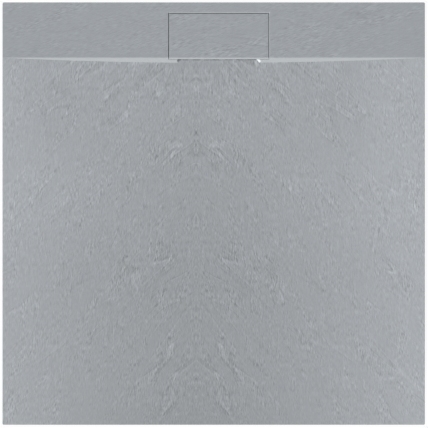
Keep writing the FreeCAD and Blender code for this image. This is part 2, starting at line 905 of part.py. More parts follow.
def strainer_knob():
    top = strainer_top + size.knob_height
    shoulder_top = strainer_top + size.knob_shoulder_height
    snap_bottom = strainer_bottom - size.knob_snap_length
    body = turned_body(
        "strainer_knob",
        (
            (0, snap_bottom),
            (size.knob_neck_radius, snap_bottom),
            (size.knob_snap_radius, strainer_bottom),
            (size.knob_neck_radius, strainer_bottom),
            (size.knob_neck_radius, strainer_top),
            (size.knob_shoulder_radius, strainer_top),
            (size.knob_shoulder_radius, shoulder_top),
            (size.knob_radius, shoulder_top + size.knob_edge),
            (size.knob_radius, top - size.knob_edge),
            (size.knob_radius - size.knob_edge, top),
            (0, top),
        ),
    )
    place_at_drain(body)


# ---- outlet, turned round the pipe's axis with its origin at the ball's centre ----


def place_at_ball(item):
    place(
        item,
        size.cover_offset - size.outlet_distance,
        drain_y,
        size.underside_height - size.outlet_drop,
    )


def outlet_pipe():
    bore = size.pipe_radius - size.pipe_wall
    ball = size.ball_radius
    inner_end = size.ball_reach
    ball_root = square_root(ball * ball - size.pipe_radius * size.pipe_radius)
    inner_radius = square_root(ball * ball - inner_end * inner_end)
    outer_end = -size.pipe_length
    body = turned_body(
        "outlet_pipe",
        (
            (inner_end, bore),
            (inner_end, inner_radius),
            (-ball_root, size.pipe_radius),
            (outer_end + size.pipe_chamfer, size.pipe_radius),
            (outer_end, size.pipe_radius - size.pipe_chamfer),
            (outer_end, bore),
        ),
        {1: ((0, ball), ball)},
        axis="H_Axis",
    )
    place_at_ball(body)


def ball_seal():
    """Lip ring in the chamber's back corner, just clear of the ball."""
    outer = size.ball_radius + size.ball_clearance - size.seal_clearance
    body = turned_body(
        "ball_seal",
        (
            (size.seal_reach, size.seal_mouth_radius),
            (size.chamber_reach, size.seal_throat_radius),
            (size.chamber_reach, outer),
            (size.seal_reach, outer),
        ),
        axis="H_Axis",
    )
    place_at_ball(body)


def ball_nut():
    thread = size.socket_radius + size.nut_clearance
    shoulder = -(size.socket_reach + size.nut_clearance)
    room = size.ball_radius + size.ball_clearance
    front = -size.nut_front_reach
    lip_back = front + size.nut_lip_thickness
    body = turned_body(
        "ball_nut",
        (
            (size.nut_back_reach, thread),
            (shoulder, thread),
            (shoulder, room),
            (lip_back, room),
            (lip_back, size.nut_lip_radius),
            (front, size.nut_lip_radius),
            (front, size.nut_radius - size.nut_chamfer),
            (front + size.nut_chamfer, size.nut_radius),
            (size.nut_back_reach, size.nut_radius),
        ),
        axis="H_Axis",
    )
    place_at_ball(body)


# ---- legs ----


def leg_position(column, row):
    x = column * (right_edge - size.leg_side_inset)
    front = -rear_edge + size.leg_front_inset
    rear = rear_edge - size.leg_rear_inset
    y = {-1: front, 0: (front + rear) / 2, 1: rear}[row]
    return x, y


def leg(number, column, row):
    """Head glued under the slab, lock ring, threaded foot and sole, all on one upright axis."""
    x, y = leg_position(column, row)
    bore = size.stem_radius + size.stem_clearance
    mouth = -size.boss_length
    gusset_top = -size.plate_thickness
    stem_top = -size.stem_drop
    pieces = (
        (
            "leg_head",
            (
                (0, 0),
                (size.plate_radius, 0),
                (size.plate_radius, gusset_top),
                (size.gusset_radius, gusset_top),
                (size.boss_radius, gusset_top - size.gusset_height),
                (size.boss_radius, mouth),
                (bore, mouth),
                (bore, -size.socket_roof),
                (0, -size.socket_roof),
            ),
        ),
        (
            "lock_ring",
            (
                (bore, mouth),
                (size.ring_radius, mouth),
                (size.ring_radius, ring_bottom),
                (bore, ring_bottom),
            ),
        ),
        (
            "leg_foot",
            (
                (0, stem_top),
                (size.stem_radius - size.stem_chamfer, stem_top),
                (size.stem_radius, stem_top - size.stem_chamfer),
                (size.stem_radius, disc_top + size.hub_height),
                (size.hub_radius, disc_top),
                (size.disc_radius, disc_top),
                (size.disc_radius, sole_top),
                (0, sole_top),
            ),
        ),
        (
            "foot_sole",
            (
                (0, sole_top),
                (size.disc_radius - size.sole_inset, sole_top),
                (size.disc_radius - size.sole_inset, sole_bottom),
                (0, sole_bottom),
            ),
        ),
    )
    for name, outline in pieces:
        place(turned_body(f"{name}_{number}", outline), x, y, size.underside_height)


# ---- build, test and write ----


def build():
    tray_body()
    drain_cover()
    cover_pads()
    waste_flange()
    flat_gaskets()
    screws_and_inserts()
    trap_body()
    dip_tube()
    dip_tube_seal()
    trap_cup()
    hair_strainer()
    strainer_knob()
    outlet_pipe()
    ball_seal()
    ball_nut()
    for number, (column, row) in enumerate(LEG_PLACES, start=1):
        leg(number, column, row)
    document.recompute()


def check():
    """Stops if any object failed or any node holds no sound solid."""
    for item in document.Objects:
        if {"Invalid", "Error"} & set(item.State):
            raise RuntimeError(f"{item.Name} failed: {item.State}")
    for node in nodes:
        shape = node.Shape
        if shape.isNull() or not shape.isValid() or not shape.Solids:
            raise RuntimeError(f"{node.Label} has no sound solid")


def write():
    os.makedirs("parts", exist_ok=True)
    for node in nodes:
        node.Shape.exportStep(f"parts/{node.Label}.step")
        box = node.Shape.BoundBox
        print(
            f"{node.Label}: {len(node.Shape.Solids)} solid, {node.Shape.Volume / 1000:.1f} cm3, "
            f"z {box.ZMin:.1f} to {box.ZMax:.1f}"
        )


build()
check()
write()
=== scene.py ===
"""Looks of a square slate-textured shower tray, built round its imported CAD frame.

The frame's axes: X to the right, Y to the rear edge with the flat band, Z up, all in metres.
"""
import math

import bmesh
import bpy
import numpy as np
from mathutils import Matrix, Vector


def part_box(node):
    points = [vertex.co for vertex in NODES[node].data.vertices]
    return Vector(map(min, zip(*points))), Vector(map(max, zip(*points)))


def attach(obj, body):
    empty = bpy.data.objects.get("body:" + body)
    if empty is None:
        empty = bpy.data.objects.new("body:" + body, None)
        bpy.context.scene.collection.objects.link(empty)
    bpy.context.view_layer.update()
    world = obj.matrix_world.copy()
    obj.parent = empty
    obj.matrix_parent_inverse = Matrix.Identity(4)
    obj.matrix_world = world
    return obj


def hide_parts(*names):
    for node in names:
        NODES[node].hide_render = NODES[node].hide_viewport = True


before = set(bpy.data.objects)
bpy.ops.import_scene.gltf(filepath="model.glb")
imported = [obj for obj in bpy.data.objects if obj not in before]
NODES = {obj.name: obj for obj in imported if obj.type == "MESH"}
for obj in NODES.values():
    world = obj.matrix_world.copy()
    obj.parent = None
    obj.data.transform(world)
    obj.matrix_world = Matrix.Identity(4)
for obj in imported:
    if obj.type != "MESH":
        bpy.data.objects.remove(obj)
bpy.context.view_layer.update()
MM = 0.001

# ---- places read from the frame ----

TRAY_LOW, TRAY_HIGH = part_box("tray_body")
COVER_LOW, COVER_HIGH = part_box("drain_cover")
FLANGE_LOW, FLANGE_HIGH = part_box("waste_flange")
RIM = TRAY_HIGH.z
DRAIN_X = (FLANGE_LOW.x + FLANGE_HIGH.x) / 2
DRAIN_Y = (FLANGE_LOW.y + FLANGE_HIGH.y) / 2
FLANGE_WITH_GASKET = 4 * MM
FLANGE_SEAT = FLANGE_HIGH.z - FLANGE_WITH_GASKET
LEG_NUMBERS = range(1, 9)
HEAD_LOW, HEAD_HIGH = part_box("leg_head_1")
RING_LOW, RING_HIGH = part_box("lock_ring_1")
FOOT_LOW, FOOT_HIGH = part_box("leg_foot_1")
SOLE_LOW, SOLE_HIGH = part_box("foot_sole_1")
NUT_LOW, NUT_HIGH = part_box("ball_nut")

# ---- sizes of the casting, as in the part's source ----

BAND_EDGE = TRAY_HIGH.y - 130.5 * MM
DISH_FALL = 15.2 * MM
STEP_RUN = 11.8 * MM
STEP_SLOPE = STEP_RUN / DISH_FALL
DISH_HALF_WIDTH = 502 * MM
DISH_FRONT = -502 * MM
COVER_GAP = 1.2 * MM
COVER_SEAT = RIM - 7 * MM
REBATE_FRONT = BAND_EDGE - STEP_RUN
RECESS_FLOOR = RIM - 18 * MM
RECESS_HALF = 87.5 * MM
RECESS_FLARE = 20 * MM
RECESS_REAR = DRAIN_Y + 52.4 * MM
SLOT_BACK = DRAIN_Y - 52.4 * MM
SLOT_BACK_HALF = RECESS_HALF + 2.2 * MM
SLOT_FRONT = SLOT_BACK - 13.6 * MM
SLOT_FRONT_HALF = SLOT_BACK_HALF + 7.3 * MM
SLOT_SPLAY = 0.78
LIP_RUN = 4.9 * MM
FLANGE_REBATE_RADIUS = 52 * MM
WASTE_HOLE_RADIUS = 45 * MM

# ---- slate relief ----

MIRROR_X = -41.5 * MM  # the floor's pattern is the same on both sides of this line
BAND_STREAK_TURN = 18  # degrees, for the band and the cover
BAND_CRACK_SLANT = 0.3
SUNK = 0.42 * MM  # mean depth of the relief below the plain surface
LEAST_SUNK = 0.02 * MM
FLOOR_STREAK_LEAN = 0.08  # how far the floor's relief shifts across for each step along
FLOOR_GRID = (1.75 * MM, 6.0 * MM)
BAND_GRID = (5.0 * MM, 1.9 * MM)
COVER_GRID = (3.0 * MM, 1.2 * MM)
GRID_MARGIN = 2 * MM
BELOW_SLAB = TRAY_LOW.z - 1 * MM
ABOVE_RIM = RIM + 2 * MM


def smooth_noise(seed, shape, blur):
    """Random field of unit spread, blurred by so many rows and columns. It wraps round at its edges."""
    white = np.random.default_rng(seed).standard_normal(shape)
    rows = np.fft.fftfreq(shape[0])[:, None]
    columns = np.fft.rfftfreq(shape[1])[None, :]
    gain = np.exp(-2 * math.pi ** 2 * ((rows * blur[0]) ** 2 + (columns * blur[1]) ** 2))
    field = np.fft.irfft2(np.fft.rfft2(white) * gain, s=shape)
    return (field - field.mean()) / field.std()


class Noise:
    """A blurred random field laid over a plane, with a blur length along each of its two directions."""

    SHAPE = (1024, 1024)
    SAMPLES_PER_BLUR = 2.2

    def __init__(self, seed, across, along):
        self.step = (along / self.SAMPLES_PER_BLUR, across / self.SAMPLES_PER_BLUR)
        self.field = smooth_noise(seed, self.SHAPE, (self.SAMPLES_PER_BLUR, self.SAMPLES_PER_BLUR))

    def __call__(self, across, along):
        row, column = along / self.step[0], across / self.step[1]
        r0, c0 = np.floor(row).astype(int), np.floor(column).astype(int)
        fr, fc = row - r0, column - c0
        height, width = self.SHAPE
        r1, c1 = (r0 + 1) % height, (c0 + 1) % width
        r0, c0 = r0 % height, c0 % width
        near = self.field[r0, c0] * (1 - fc) + self.field[r0, c1] * fc
        far = self.field[r1, c0] * (1 - fc) + self.field[r1, c1] * fc
        return near * (1 - fr) + far * fr


def ramp(value, start, end):
    """0 at start, 1 at end, smooth between."""
    t = np.clip((value - start) / (end - start), 0, 1)
    return t * t * (3 - 2 * t)


def ledges(field, sharpness=0.32):
    """Turns a smooth field into terraces with rounded edges, like split slate."""
    level = np.floor(field)
    return level + ramp(field - level, 0.5 - sharpness, 0.5 + sharpness)


class Slate:
    """Height of the slate relief, in metres, for streaks that run along the second direction."""

    # Heights in millimetres, at a strength of 1
    FLAKE_HEIGHT = 0.035
    CRACK_DEPTH = 0.09
    WAVE_HEIGHT = 0.10
    WANDER = 4 * MM

    def __init__(self, seed, strength=1.0, grit=0.05):
        self.strength = strength
        self.grit = grit
        self.fine = Noise(seed, 1.0 * MM, 3.0 * MM)
        self.flakes = Noise(seed + 1, 3.4 * MM, 7 * MM)
        self.cracks = Noise(seed + 2, 3.2 * MM, 26 * MM)
        self.patches = Noise(seed + 3, 26 * MM, 42 * MM)
        self.wander = Noise(seed + 4, 60 * MM, 60 * MM)
        self.waves = Noise(seed + 5, 45 * MM, 90 * MM)

    def __call__(self, across, along, slant=0.9):
        across = across + self.WANDER * self.wander(across, along)
        rough = np.exp(0.3 * self.patches(across, along))
        fine = self.grit * rough * self.fine(across, along)
        flakes = self.FLAKE_HEIGHT * ledges(0.8 * self.flakes(across, along) * rough)
        turn = math.atan(slant)
        crack_across = across * math.cos(turn) + along * math.sin(turn)
        crack_along = along * math.cos(turn) - across * math.sin(turn)
        cracks = self.CRACK_DEPTH * ramp(self.cracks(crack_across, crack_along), 1.0, 2.4)
        waves = self.WAVE_HEIGHT * self.waves(across, along)
        return MM * self.strength * (fine + flakes - cracks + waves)


def oblique(x, y):
    """Distance across and along the band's streaks."""
    turn = math.radians(BAND_STREAK_TURN)
    return y * math.cos(turn) - x * math.sin(turn), x * math.cos(turn) + y * math.sin(turn)


def sunk(relief, share):
    """Depth of the relief below the plain surface. It never stands proud of it."""
    return np.maximum(SUNK - share * relief, LEAST_SUNK)


# ---- mesh helpers ----


def new_piece(name, mesh):
    piece = bpy.data.objects.new(name, mesh)
    bpy.context.scene.collection.objects.link(piece)
    return piece


def from_bmesh(name, bm):
    bmesh.ops.recalc_face_normals(bm, faces=bm.faces)
    mesh = bpy.data.meshes.new(name)
    bm.to_mesh(mesh)
    bm.free()
    return new_piece(name, mesh)


def relief_block(name, xs, ys, height, base):
    """Closed block on a rectangular grid: a relief top, upright sides and one flat face below."""
    across, up = np.meshgrid(xs, ys)
    upper = np.stack([across, up, height(across, up)], -1).reshape(-1, 3)
    index = np.arange(len(upper)).reshape(len(ys), len(xs))
    tops = np.stack([index[:-1, :-1], index[:-1, 1:], index[1:, 1:], index[1:, :-1]], -1).reshape(-1, 4)
    ring = np.concatenate([index[0, :-1], index[:-1, -1], index[-1, :0:-1], index[:0:-1, 0]])
    lower = upper[ring].copy()
    lower[:, 2] = base
    below = len(upper) + np.arange(len(ring))
    sides = np.stack([ring, below, np.roll(below, -1), np.roll(ring, -1)], -1)
    mesh = bpy.data.meshes.new(name)
    points = np.concatenate([upper, lower]).tolist()
    mesh.from_pydata(points, [], tops.tolist() + sides.tolist() + [below[::-1].tolist()])
    return new_piece(name, mesh)


def hull(name, points):
    """Closed convex solid round the points."""
    bm = bmesh.new()
    for point in points:
        bm.verts.new(point)
    made = bmesh.ops.convex_hull(bm, input=bm.verts)
    bmesh.ops.delete(bm, geom=list({v for v in made["geom_interior"] if v.is_valid}), context="VERTS")
    bmesh.ops.dissolve_limit(bm, angle_limit=math.radians(0.1), verts=bm.verts, edges=bm.edges)
    return from_bmesh(name, bm)


def slices(name, outlines):
    """Closed solid through flat outlines of as many points each, with a face over each end."""
    bm = bmesh.new()
    rings = [[bm.verts.new(point) for point in outline] for outline in outlines]
    for ring, after in zip(rings, rings[1:]):
        for i in range(len(ring)):
            j = (i + 1) % len(ring)
            bm.faces.new((ring[i], ring[j], after[j], after[i]))
    bm.faces.new(rings[0][::-1])
    bm.faces.new(rings[-1])
    return from_bmesh(name, bm)


def rounded_rectangle(low, high, z, radius, steps=5):
    """Points of a rectangle with round corners at height z."""
    centres = [
        (high[0] - radius, high[1] - radius, 0),
        (low[0] + radius, high[1] - radius, 90),
        (low[0] + radius, low[1] + radius, 180),
        (high[0] - radius, low[1] + radius, 270),
    ]
    points = []
    for x, y, start in centres:
        for step in range(steps + 1):
            angle = math.radians(start + 90 * step / steps)
            points.append((x + radius * math.cos(angle), y + radius * math.sin(angle), z))
    return points


def lathe(name, outline, segments=64, warp=None):
    """Solid turned round the Z axis from a closed outline of (radius, z) points.

    A radius of 0 is on the axis. warp(angle, radius, z), if given, returns each point's own radius
    and height.
    """
    bm = bmesh.new()
    rings = []
    for radius, z in outline:
        if radius == 0:
            rings.append([bm.verts.new((0, 0, z))])
            continue
        ring = []
        for i in range(segments):
            angle = 2 * math.pi * i / segments
            out, up = warp(angle, radius, z) if warp else (radius, z)
            ring.append(bm.verts.new((out * math.cos(angle), out * math.sin(angle), up)))
        rings.append(ring)
    pairs = list(zip(rings, rings[1:]))
    if outline[0][0] > 0 or outline[-1][0] > 0:
        pairs.append((rings[-1], rings[0]))
    for ring, after in pairs:
        for i in range(segments):
            j = (i + 1) % segments
            here = (ring[i % len(ring)], ring[j % len(ring)])
            there = (after[j % len(after)], after[i % len(after)])
            face = list(dict.fromkeys(here + there))
            if len(face) > 2:
                bm.faces.new(face)
    return from_bmesh(name, bm)


def fin(name, outline, thickness, angle):
    """Upright plate from an outline of (radius, z) points, at an angle round the Z axis."""
    sides = [[(radius, shift, z) for radius, z in outline] for shift in (-thickness / 2, thickness / 2)]
    plate = slices(name, sides)
    plate.data.transform(Matrix.Rotation(angle, 4, "Z"))
    return plate


def join(pieces):
    """Puts several closed pieces in one, as separate shells."""
    bm = bmesh.new()
    for piece in pieces:
        bm.from_mesh(piece.data)
    for piece in pieces[1:]:
        bpy.data.objects.remove(piece)
    bm.to_mesh(pieces[0].data)
    bm.free()
    return pieces[0]


def apply_modifiers(piece):
    depsgraph = bpy.context.evaluated_depsgraph_get()
    mesh = bpy.data.meshes.new_from_object(piece.evaluated_get(depsgraph))
    plain = piece.data
    piece.modifiers.clear()
    piece.data = mesh
    bpy.data.meshes.remove(plain)


def combine(piece, other, operation):
    """Boolean of two closed pieces. The other one is used up."""
    change = piece.modifiers.new("change", "BOOLEAN")
    change.operation = operation
    change.solver = "MANIFOLD"
    change.object = other
    apply_modifiers(piece)
    bpy.data.objects.remove(other)


def shade_smooth(piece, crease=30):
    """Smooth shading with sharp edges where faces meet at more than the crease angle."""
    piece.data.polygons.foreach_set("use_smooth", [True] * len(piece.data.polygons))
    piece.data.set_sharp_from_angle(angle=math.radians(crease))


def spaced(start, end, step):
    return np.linspace(start, end, int(round((end - start) / step)) + 1)


def finished(piece, material, slot, body, *nodes, crease=30):
    """Gives a piece its one material, hides the nodes it stands for and hangs it on what it rides on."""
    piece.data.materials.clear()
    piece.data.materials.append(material)
    register(piece, slot, body, *nodes, crease=crease)


def register(piece, slot, body, *nodes, crease=30):
    shade_smooth(piece, crease)
    if nodes:
        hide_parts(*nodes)
    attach(piece, body)


def dress(material, *names):
    """Gives CAD nodes that stay as they are a better material."""
    for name in names:
        for place in NODES[name].material_slots:
            place.material = material


# ---- material helpers ----


class Graph:
    """Short names for building a material's nodes."""

    def __init__(self, name):
        self.material = bpy.data.materials.new(name)
        self.material.use_nodes = True
        self.tree = self.material.node_tree
        self.tree.nodes.clear()
        self.output = self.node("ShaderNodeOutputMaterial")

    def node(self, kind, **settings):
        made = self.tree.nodes.new(kind)
        for key, value in settings.items():
            setattr(made, key, value)
        return made

    def put(self, socket, value):
        """Links or sets an input."""
        if isinstance(value, bpy.types.NodeSocket):
            self.tree.links.new(value, socket)
        else:
            socket.default_value = value

    def math(self, operation, *values):
        made = self.node("ShaderNodeMath", operation=operation)
        for socket, value in zip(made.inputs, values):
            self.put(socket, value)
        return made.outputs[0]

    def apart(self, value, centre):
        """Distance between a value and a centre."""
        return self.math("ABSOLUTE", self.math("SUBTRACT", value, centre))

    def place(self):
        return self.node("ShaderNodeTexCoord").outputs["Object"]

    def separate(self, vector):
        made = self.node("ShaderNodeSeparateXYZ")
        self.put(made.inputs[0], vector)
        return made.outputs["X"], made.outputs["Y"], made.outputs["Z"]

    def combine(self, x, y, z):
        made = self.node("ShaderNodeCombineXYZ")
        for socket, value in zip(made.inputs, (x, y, z)):
            self.put(socket, value)
        return made.outputs[0]

    def scaled(self, vector, scale, turn=(0, 0, 0)):
        made = self.node("ShaderNodeMapping")
        self.put(made.inputs["Vector"], vector)
        made.inputs["Rotation"].default_value = [math.radians(angle) for angle in turn]
        made.inputs["Scale"].default_value = scale
        return made.outputs[0]

    def noise(self, vector, scale, detail=2.0, roughness=0.5, distortion=0.0):
        made = self.node("ShaderNodeTexNoise")
        self.put(made.inputs["Vector"], vector)
        made.inputs["Scale"].default_value = scale
        made.inputs["Detail"].default_value = detail
        made.inputs["Roughness"].default_value = roughness
        made.inputs["Distortion"].default_value = distortion
        return made.outputs["Fac"]

    def span(self, value, low, high, to_low=0.0, to_high=1.0, smooth=False):
        made = self.node("ShaderNodeMapRange", interpolation_type="SMOOTHSTEP" if smooth else "LINEAR")
        for socket, given in zip(made.inputs, (value, low, high, to_low, to_high)):
            self.put(socket, given)
        return made.outputs[0]

    def blend(self, factor, first, second):
        made = self.node("ShaderNodeMix", data_type="RGBA")
        self.put(made.inputs["Factor"], factor)
        self.put(made.inputs["A"], first)
        self.put(made.inputs["B"], second)
        return made.outputs["Result"]

    def shaded(self, colour, gain):
        """One colour times a value that varies."""
        made = self.node("ShaderNodeVectorMath", operation="SCALE")
        made.inputs[0].default_value = colour[:3]
        self.put(made.inputs["Scale"], gain)
        return made.outputs[0]

    def bump(self, height, distance):
        made = self.node("ShaderNodeBump")
        made.inputs["Strength"].default_value = 1.0
        made.inputs["Distance"].default_value = distance
        self.put(made.inputs["Height"], height)
        return made.outputs[0]

    def principled(self, **values):
        made = self.node("ShaderNodeBsdfPrincipled")
        for key, value in values.items():
            self.put(made.inputs[key.replace("_", " ")], value)
        self.tree.links.new(made.outputs[0], self.output.inputs["Surface"])
        return self.material


def grey(level, warm=0.0):
    return (level * (1 + warm), level, level * (1 - warm), 1)


def tinted(colour, gain):
    return tuple(channel * gain for channel in colour[:3]) + (1,)


# ---- materials of the casting ----

GELCOAT = (0.303, 0.323, 0.344, 1)
FLOOR_GELCOAT = (0.3053, 0.3234, 0.3410, 1)
SMOOTH_GELCOAT = (0.318, 0.334, 0.344, 1)
GELCOAT_ROUGHNESS = 0.5
FLOOR_BUMP = 0.24 * MM
BAND_BUMP = 0.10 * MM
BAND_GRAIN = 0.6
COVER_GRAIN = 0.8

STREAK_SCALE = 540
FLOOR_STREAKS = (1.38, 0.178, 1)  # share of the scale along X, Y and Z
BAND_STREAKS = (0.14, 1, 1)
FLOOR_FLECK = 0.86  # how much the streaks change the colour
BAND_FLECK = 0.80
STREAK_LEAN = 0.1
PATCH_SCALE = 48
PATCH_TONE = 0.010
PATCH_STRENGTH = (0.38, 0.62, 0.6, 1.35)  # from these noise values to these gains
TERRACE_STRENGTH = (0.38, 0.62, 0.7, 1.25)
MOTTLE_SCALE = 26
MOTTLE_TONE = 0.012
SHOW_SCALE = 10
RIDGES_SHOW = (0.46, 0.62, 0.10, 1.0)  # the ridges stand out in some places only
RIDGES = (
    # turn in degrees, scale across, share of it along, half width in noise units, depth of the painted light
    # and shade on the ridge's two sides
    (43, 24, 0.16, 0.034, 0.095),
    (62, 38, 0.15, 0.045, 0.060),
)
CREST_ROUGHNESS = 0.5
MIDDLE_REACH = (0.10, 0.34)  # metres from MIRROR_X
MIDDLE_GAIN = (1.22, 0.92)


def floor_pattern(g, place):
    """Coordinates of a pattern that runs forward and is the same on both sides of MIRROR_X.

    With them comes the pattern's strength, which is greatest near that line.
    """
    x, y, z = g.separate(place)
    reach = g.apart(x, MIRROR_X)
    leaning = g.math("ADD", reach, g.math("MULTIPLY", y, STREAK_LEAN))
    relief = g.span(reach, *MIDDLE_REACH, *MIDDLE_GAIN, smooth=True)
    return g.combine(leaning, y, z), relief


def band_pattern(g, place):
    """Coordinates of a pattern that lies oblique, with the same strength everywhere."""
    return g.scaled(place, (1, 1, 1), turn=(0, 0, -BAND_STREAK_TURN)), 1.0


def gelcoat(name, base, mirrored, bump_depth, grain=1.0):
    """Matt gelcoat over moulded slate: fine streaks, quiet terraces and the ridges between them, drawn with
    painted light on one side and painted shade on the other.

    mirrored is for the floor, where the ridges make chevrons and the colour carries a slow painted light and
    shade.
    """
    g = Graph(name)
    place = g.place()
    pattern, relief = floor_pattern(g, place) if mirrored else band_pattern(g, place)
    streak_shape = FLOOR_STREAKS if mirrored else BAND_STREAKS
    fleck_gain = FLOOR_FLECK if mirrored else BAND_FLECK
    ridge_start = 0 if mirrored else -RIDGES[0][0]

    along_streaks = g.scaled(pattern, streak_shape)
    streaks = g.noise(along_streaks, STREAK_SCALE, detail=1.2, roughness=0.5)
    patches = g.noise(along_streaks, PATCH_SCALE, detail=2.0, roughness=0.55)
    mottle = g.noise(place, MOTTLE_SCALE, detail=3.0, roughness=0.6)
    show = g.span(g.noise(pattern, SHOW_SCALE, detail=1.0), *RIDGES_SHOW)
    strength = g.math("MULTIPLY", g.span(patches, *PATCH_STRENGTH), relief)
    tones = []
    for turn, scale, aspect, half_width, depth in RIDGES:
        turned = g.scaled(pattern, (1, 1, 1), turn=(0, 0, turn + ridge_start))
        drawn_out = g.scaled(turned, (aspect, 1, 1))
        terraces = g.noise(drawn_out, scale, detail=1.6, roughness=0.5, distortion=0.5)
        strength = g.math("MULTIPLY", strength, g.span(terraces, *TERRACE_STRENGTH))
        # Across each ridge, one side gets painted light and the other painted shade.
        edge = g.span(terraces, 0.5 - half_width, 0.5 + half_width, -1.0, 1.0)
        crest = g.math("MULTIPLY", g.math("SUBTRACT", 1.0, g.math("ABSOLUTE", edge)), show)
        strength = g.math("MULTIPLY", strength, g.math("MULTIPLY_ADD", crest, CREST_ROUGHNESS, 1.0))
        ridge_painted_light_gain = g.math("MULTIPLY", relief, 4 * depth * grain)
        tones.append(g.math("MULTIPLY", g.math("MULTIPLY", edge, crest), ridge_painted_light_gain))
    fleck = g.math("MULTIPLY", g.math("SUBTRACT", streaks, 0.5), strength)
    tones.append(g.math("MULTIPLY", fleck, fleck_gain * grain))
    tones.append(g.span(patches, 0.3, 0.7, -PATCH_TONE * grain, PATCH_TONE * grain))
    tones.append(g.span(mottle, 0.3, 0.7, 1 - MOTTLE_TONE, 1 + MOTTLE_TONE))
    tone = tones[0]
    for more in tones[1:]:
        tone = g.math("ADD", tone, more)
    # On the floor the colour is multiplied by painted light and shade.
    if mirrored:
        tone = g.math("MULTIPLY", tone, floor_painted_light(g, place))
    roughness = g.span(mottle, 0.3, 0.7, GELCOAT_ROUGHNESS - 0.05, GELCOAT_ROUGHNESS + 0.05)
    normal = g.bump(fleck, bump_depth)
    return g.principled(Base_Color=g.shaded(base, tone), Roughness=roughness, Normal=normal)


# Painted light and shade in the floor's colour, as shares of it. Reaches are metres from MIRROR_X.
REAR_LEVELS, REAR_REACH = (1.026, 1.064), (0.0, 0.2)
REAR_SIDE_GAIN, REAR_SIDE_REACH = 0.138, (0.30, 0.51)
FRONT_LEVEL, FRONT_SIDE_GAIN, FRONT_POWER, FRONT_REACH = 0.922, 0.262, 1.6, 0.5
REAR_TO_FRONT_Y = (0.23, -0.17)
SWELL_GAIN, SWELL_REACH, SWELL_REACH_HALF, SWELL_Y, SWELL_Y_HALF = 0.066, 0.36, 0.25, 0.05, 0.22
# The THRESHOLD values darken the middle of the floor's front edge with painted shade.
THRESHOLD_PAINTED_SHADE, THRESHOLD_Y, THRESHOLD_REACH = 0.034, (-0.39, -0.46), (0.38, 0.0)
# The next values lighten the slot's floor under the cover's front edge with painted light, against the
# cover's shadow.
SLOT_PAINTED_LIGHT_GAIN, SLOT_PAINTED_LIGHT_FROM_DRAIN, SLOT_PAINTED_LIGHT_Y = 0.13, (0.105, 0.085), (0.352, 0.362)
# These values paint light and shade that cancel the key light's shading on the two slopes of the dish.
SLOPE_LEVEL, SLOPE_CURVE, SLOPE_TURN = 0.985, 0.06, 0.119


def floor_painted_light(g, place):
    """Painted light and shade on the floor: painted light towards both sides, painted shade in the middle of
    its front half.

    It is the same on both sides of MIRROR_X, and evens out the light on the two slopes of the dish with
    painted light and shade.
    The slot's floor under the cover's front edge gets painted light against the cover's shadow.
    """
    x, y, _ = g.separate(place)
    reach = g.apart(x, MIRROR_X)
    # Painted light towards the sides, painted shade in the middle.
    rear = g.math("ADD", g.span(reach, *REAR_REACH, *REAR_LEVELS, smooth=True),
                  g.span(reach, *REAR_SIDE_REACH, 0.0, REAR_SIDE_GAIN, smooth=True))
    steepening = g.math("POWER", g.math("DIVIDE", reach, FRONT_REACH), FRONT_POWER)
    front = g.math("ADD", FRONT_LEVEL, g.math("MULTIPLY", FRONT_SIDE_GAIN, steepening))
    share = g.span(y, *REAR_TO_FRONT_Y)
    level = g.math("ADD", g.math("MULTIPLY", rear, g.math("SUBTRACT", 1.0, share)),
                   g.math("MULTIPLY", front, share))
    # Painted light in a broad patch on each side, near the middle from front to rear.
    swell = g.math("MULTIPLY", g.span(g.apart(reach, SWELL_REACH), SWELL_REACH_HALF, 0.0, smooth=True),
                   g.span(g.apart(y, SWELL_Y), SWELL_Y_HALF, 0.0, smooth=True))
    level = g.math("ADD", level, g.math("MULTIPLY", swell, SWELL_GAIN))
    # Painted shade along the middle of the front edge.
    threshold = g.math("MULTIPLY", g.span(y, *THRESHOLD_Y, smooth=True), g.span(reach, *THRESHOLD_REACH))
    level = g.math("SUBTRACT", level, g.math("MULTIPLY", threshold, THRESHOLD_PAINTED_SHADE))
    # Painted light on the slot's floor, under the cover's front edge where its shadow falls.
    slot_painted_light = g.math("MULTIPLY", g.span(g.apart(x, DRAIN_X), *SLOT_PAINTED_LIGHT_FROM_DRAIN),
                    g.span(y, *SLOT_PAINTED_LIGHT_Y, smooth=True))
    level = g.math("ADD", level, g.math("MULTIPLY", slot_painted_light, SLOT_PAINTED_LIGHT_GAIN))
    # Painted light and shade against the key light's shading on the dish's slopes.
    dished = g.math("MULTIPLY", x, g.span(y, DISH_FRONT, BAND_EDGE, 0.0, SLOPE_TURN))
    curve = g.math("MULTIPLY_ADD", g.math("MULTIPLY", x, x), SLOPE_CURVE, SLOPE_LEVEL)
    return g.math("DIVIDE", level, g.math("ADD", curve, dished))


def smooth_gelcoat(name):
    """Plain moulded faces: the step, the recess and the outer edges."""
    g = Graph(name)
    place = g.place()
    mottle = g.noise(place, 60, detail=3.0, roughness=0.6)
    speck = g.noise(place, 900, detail=1.0)
    colour = g.blend(mottle, tinted(SMOOTH_GELCOAT, 0.985), tinted(SMOOTH_GELCOAT, 1.02))
    roughness = g.span(mottle, 0.3, 0.7, 0.37, 0.43)
    normal = g.bump(speck, 0.02 * MM)
    return g.principled(Base_Color=colour, Roughness=roughness, Specular_IOR_Level=0.6, Normal=normal)


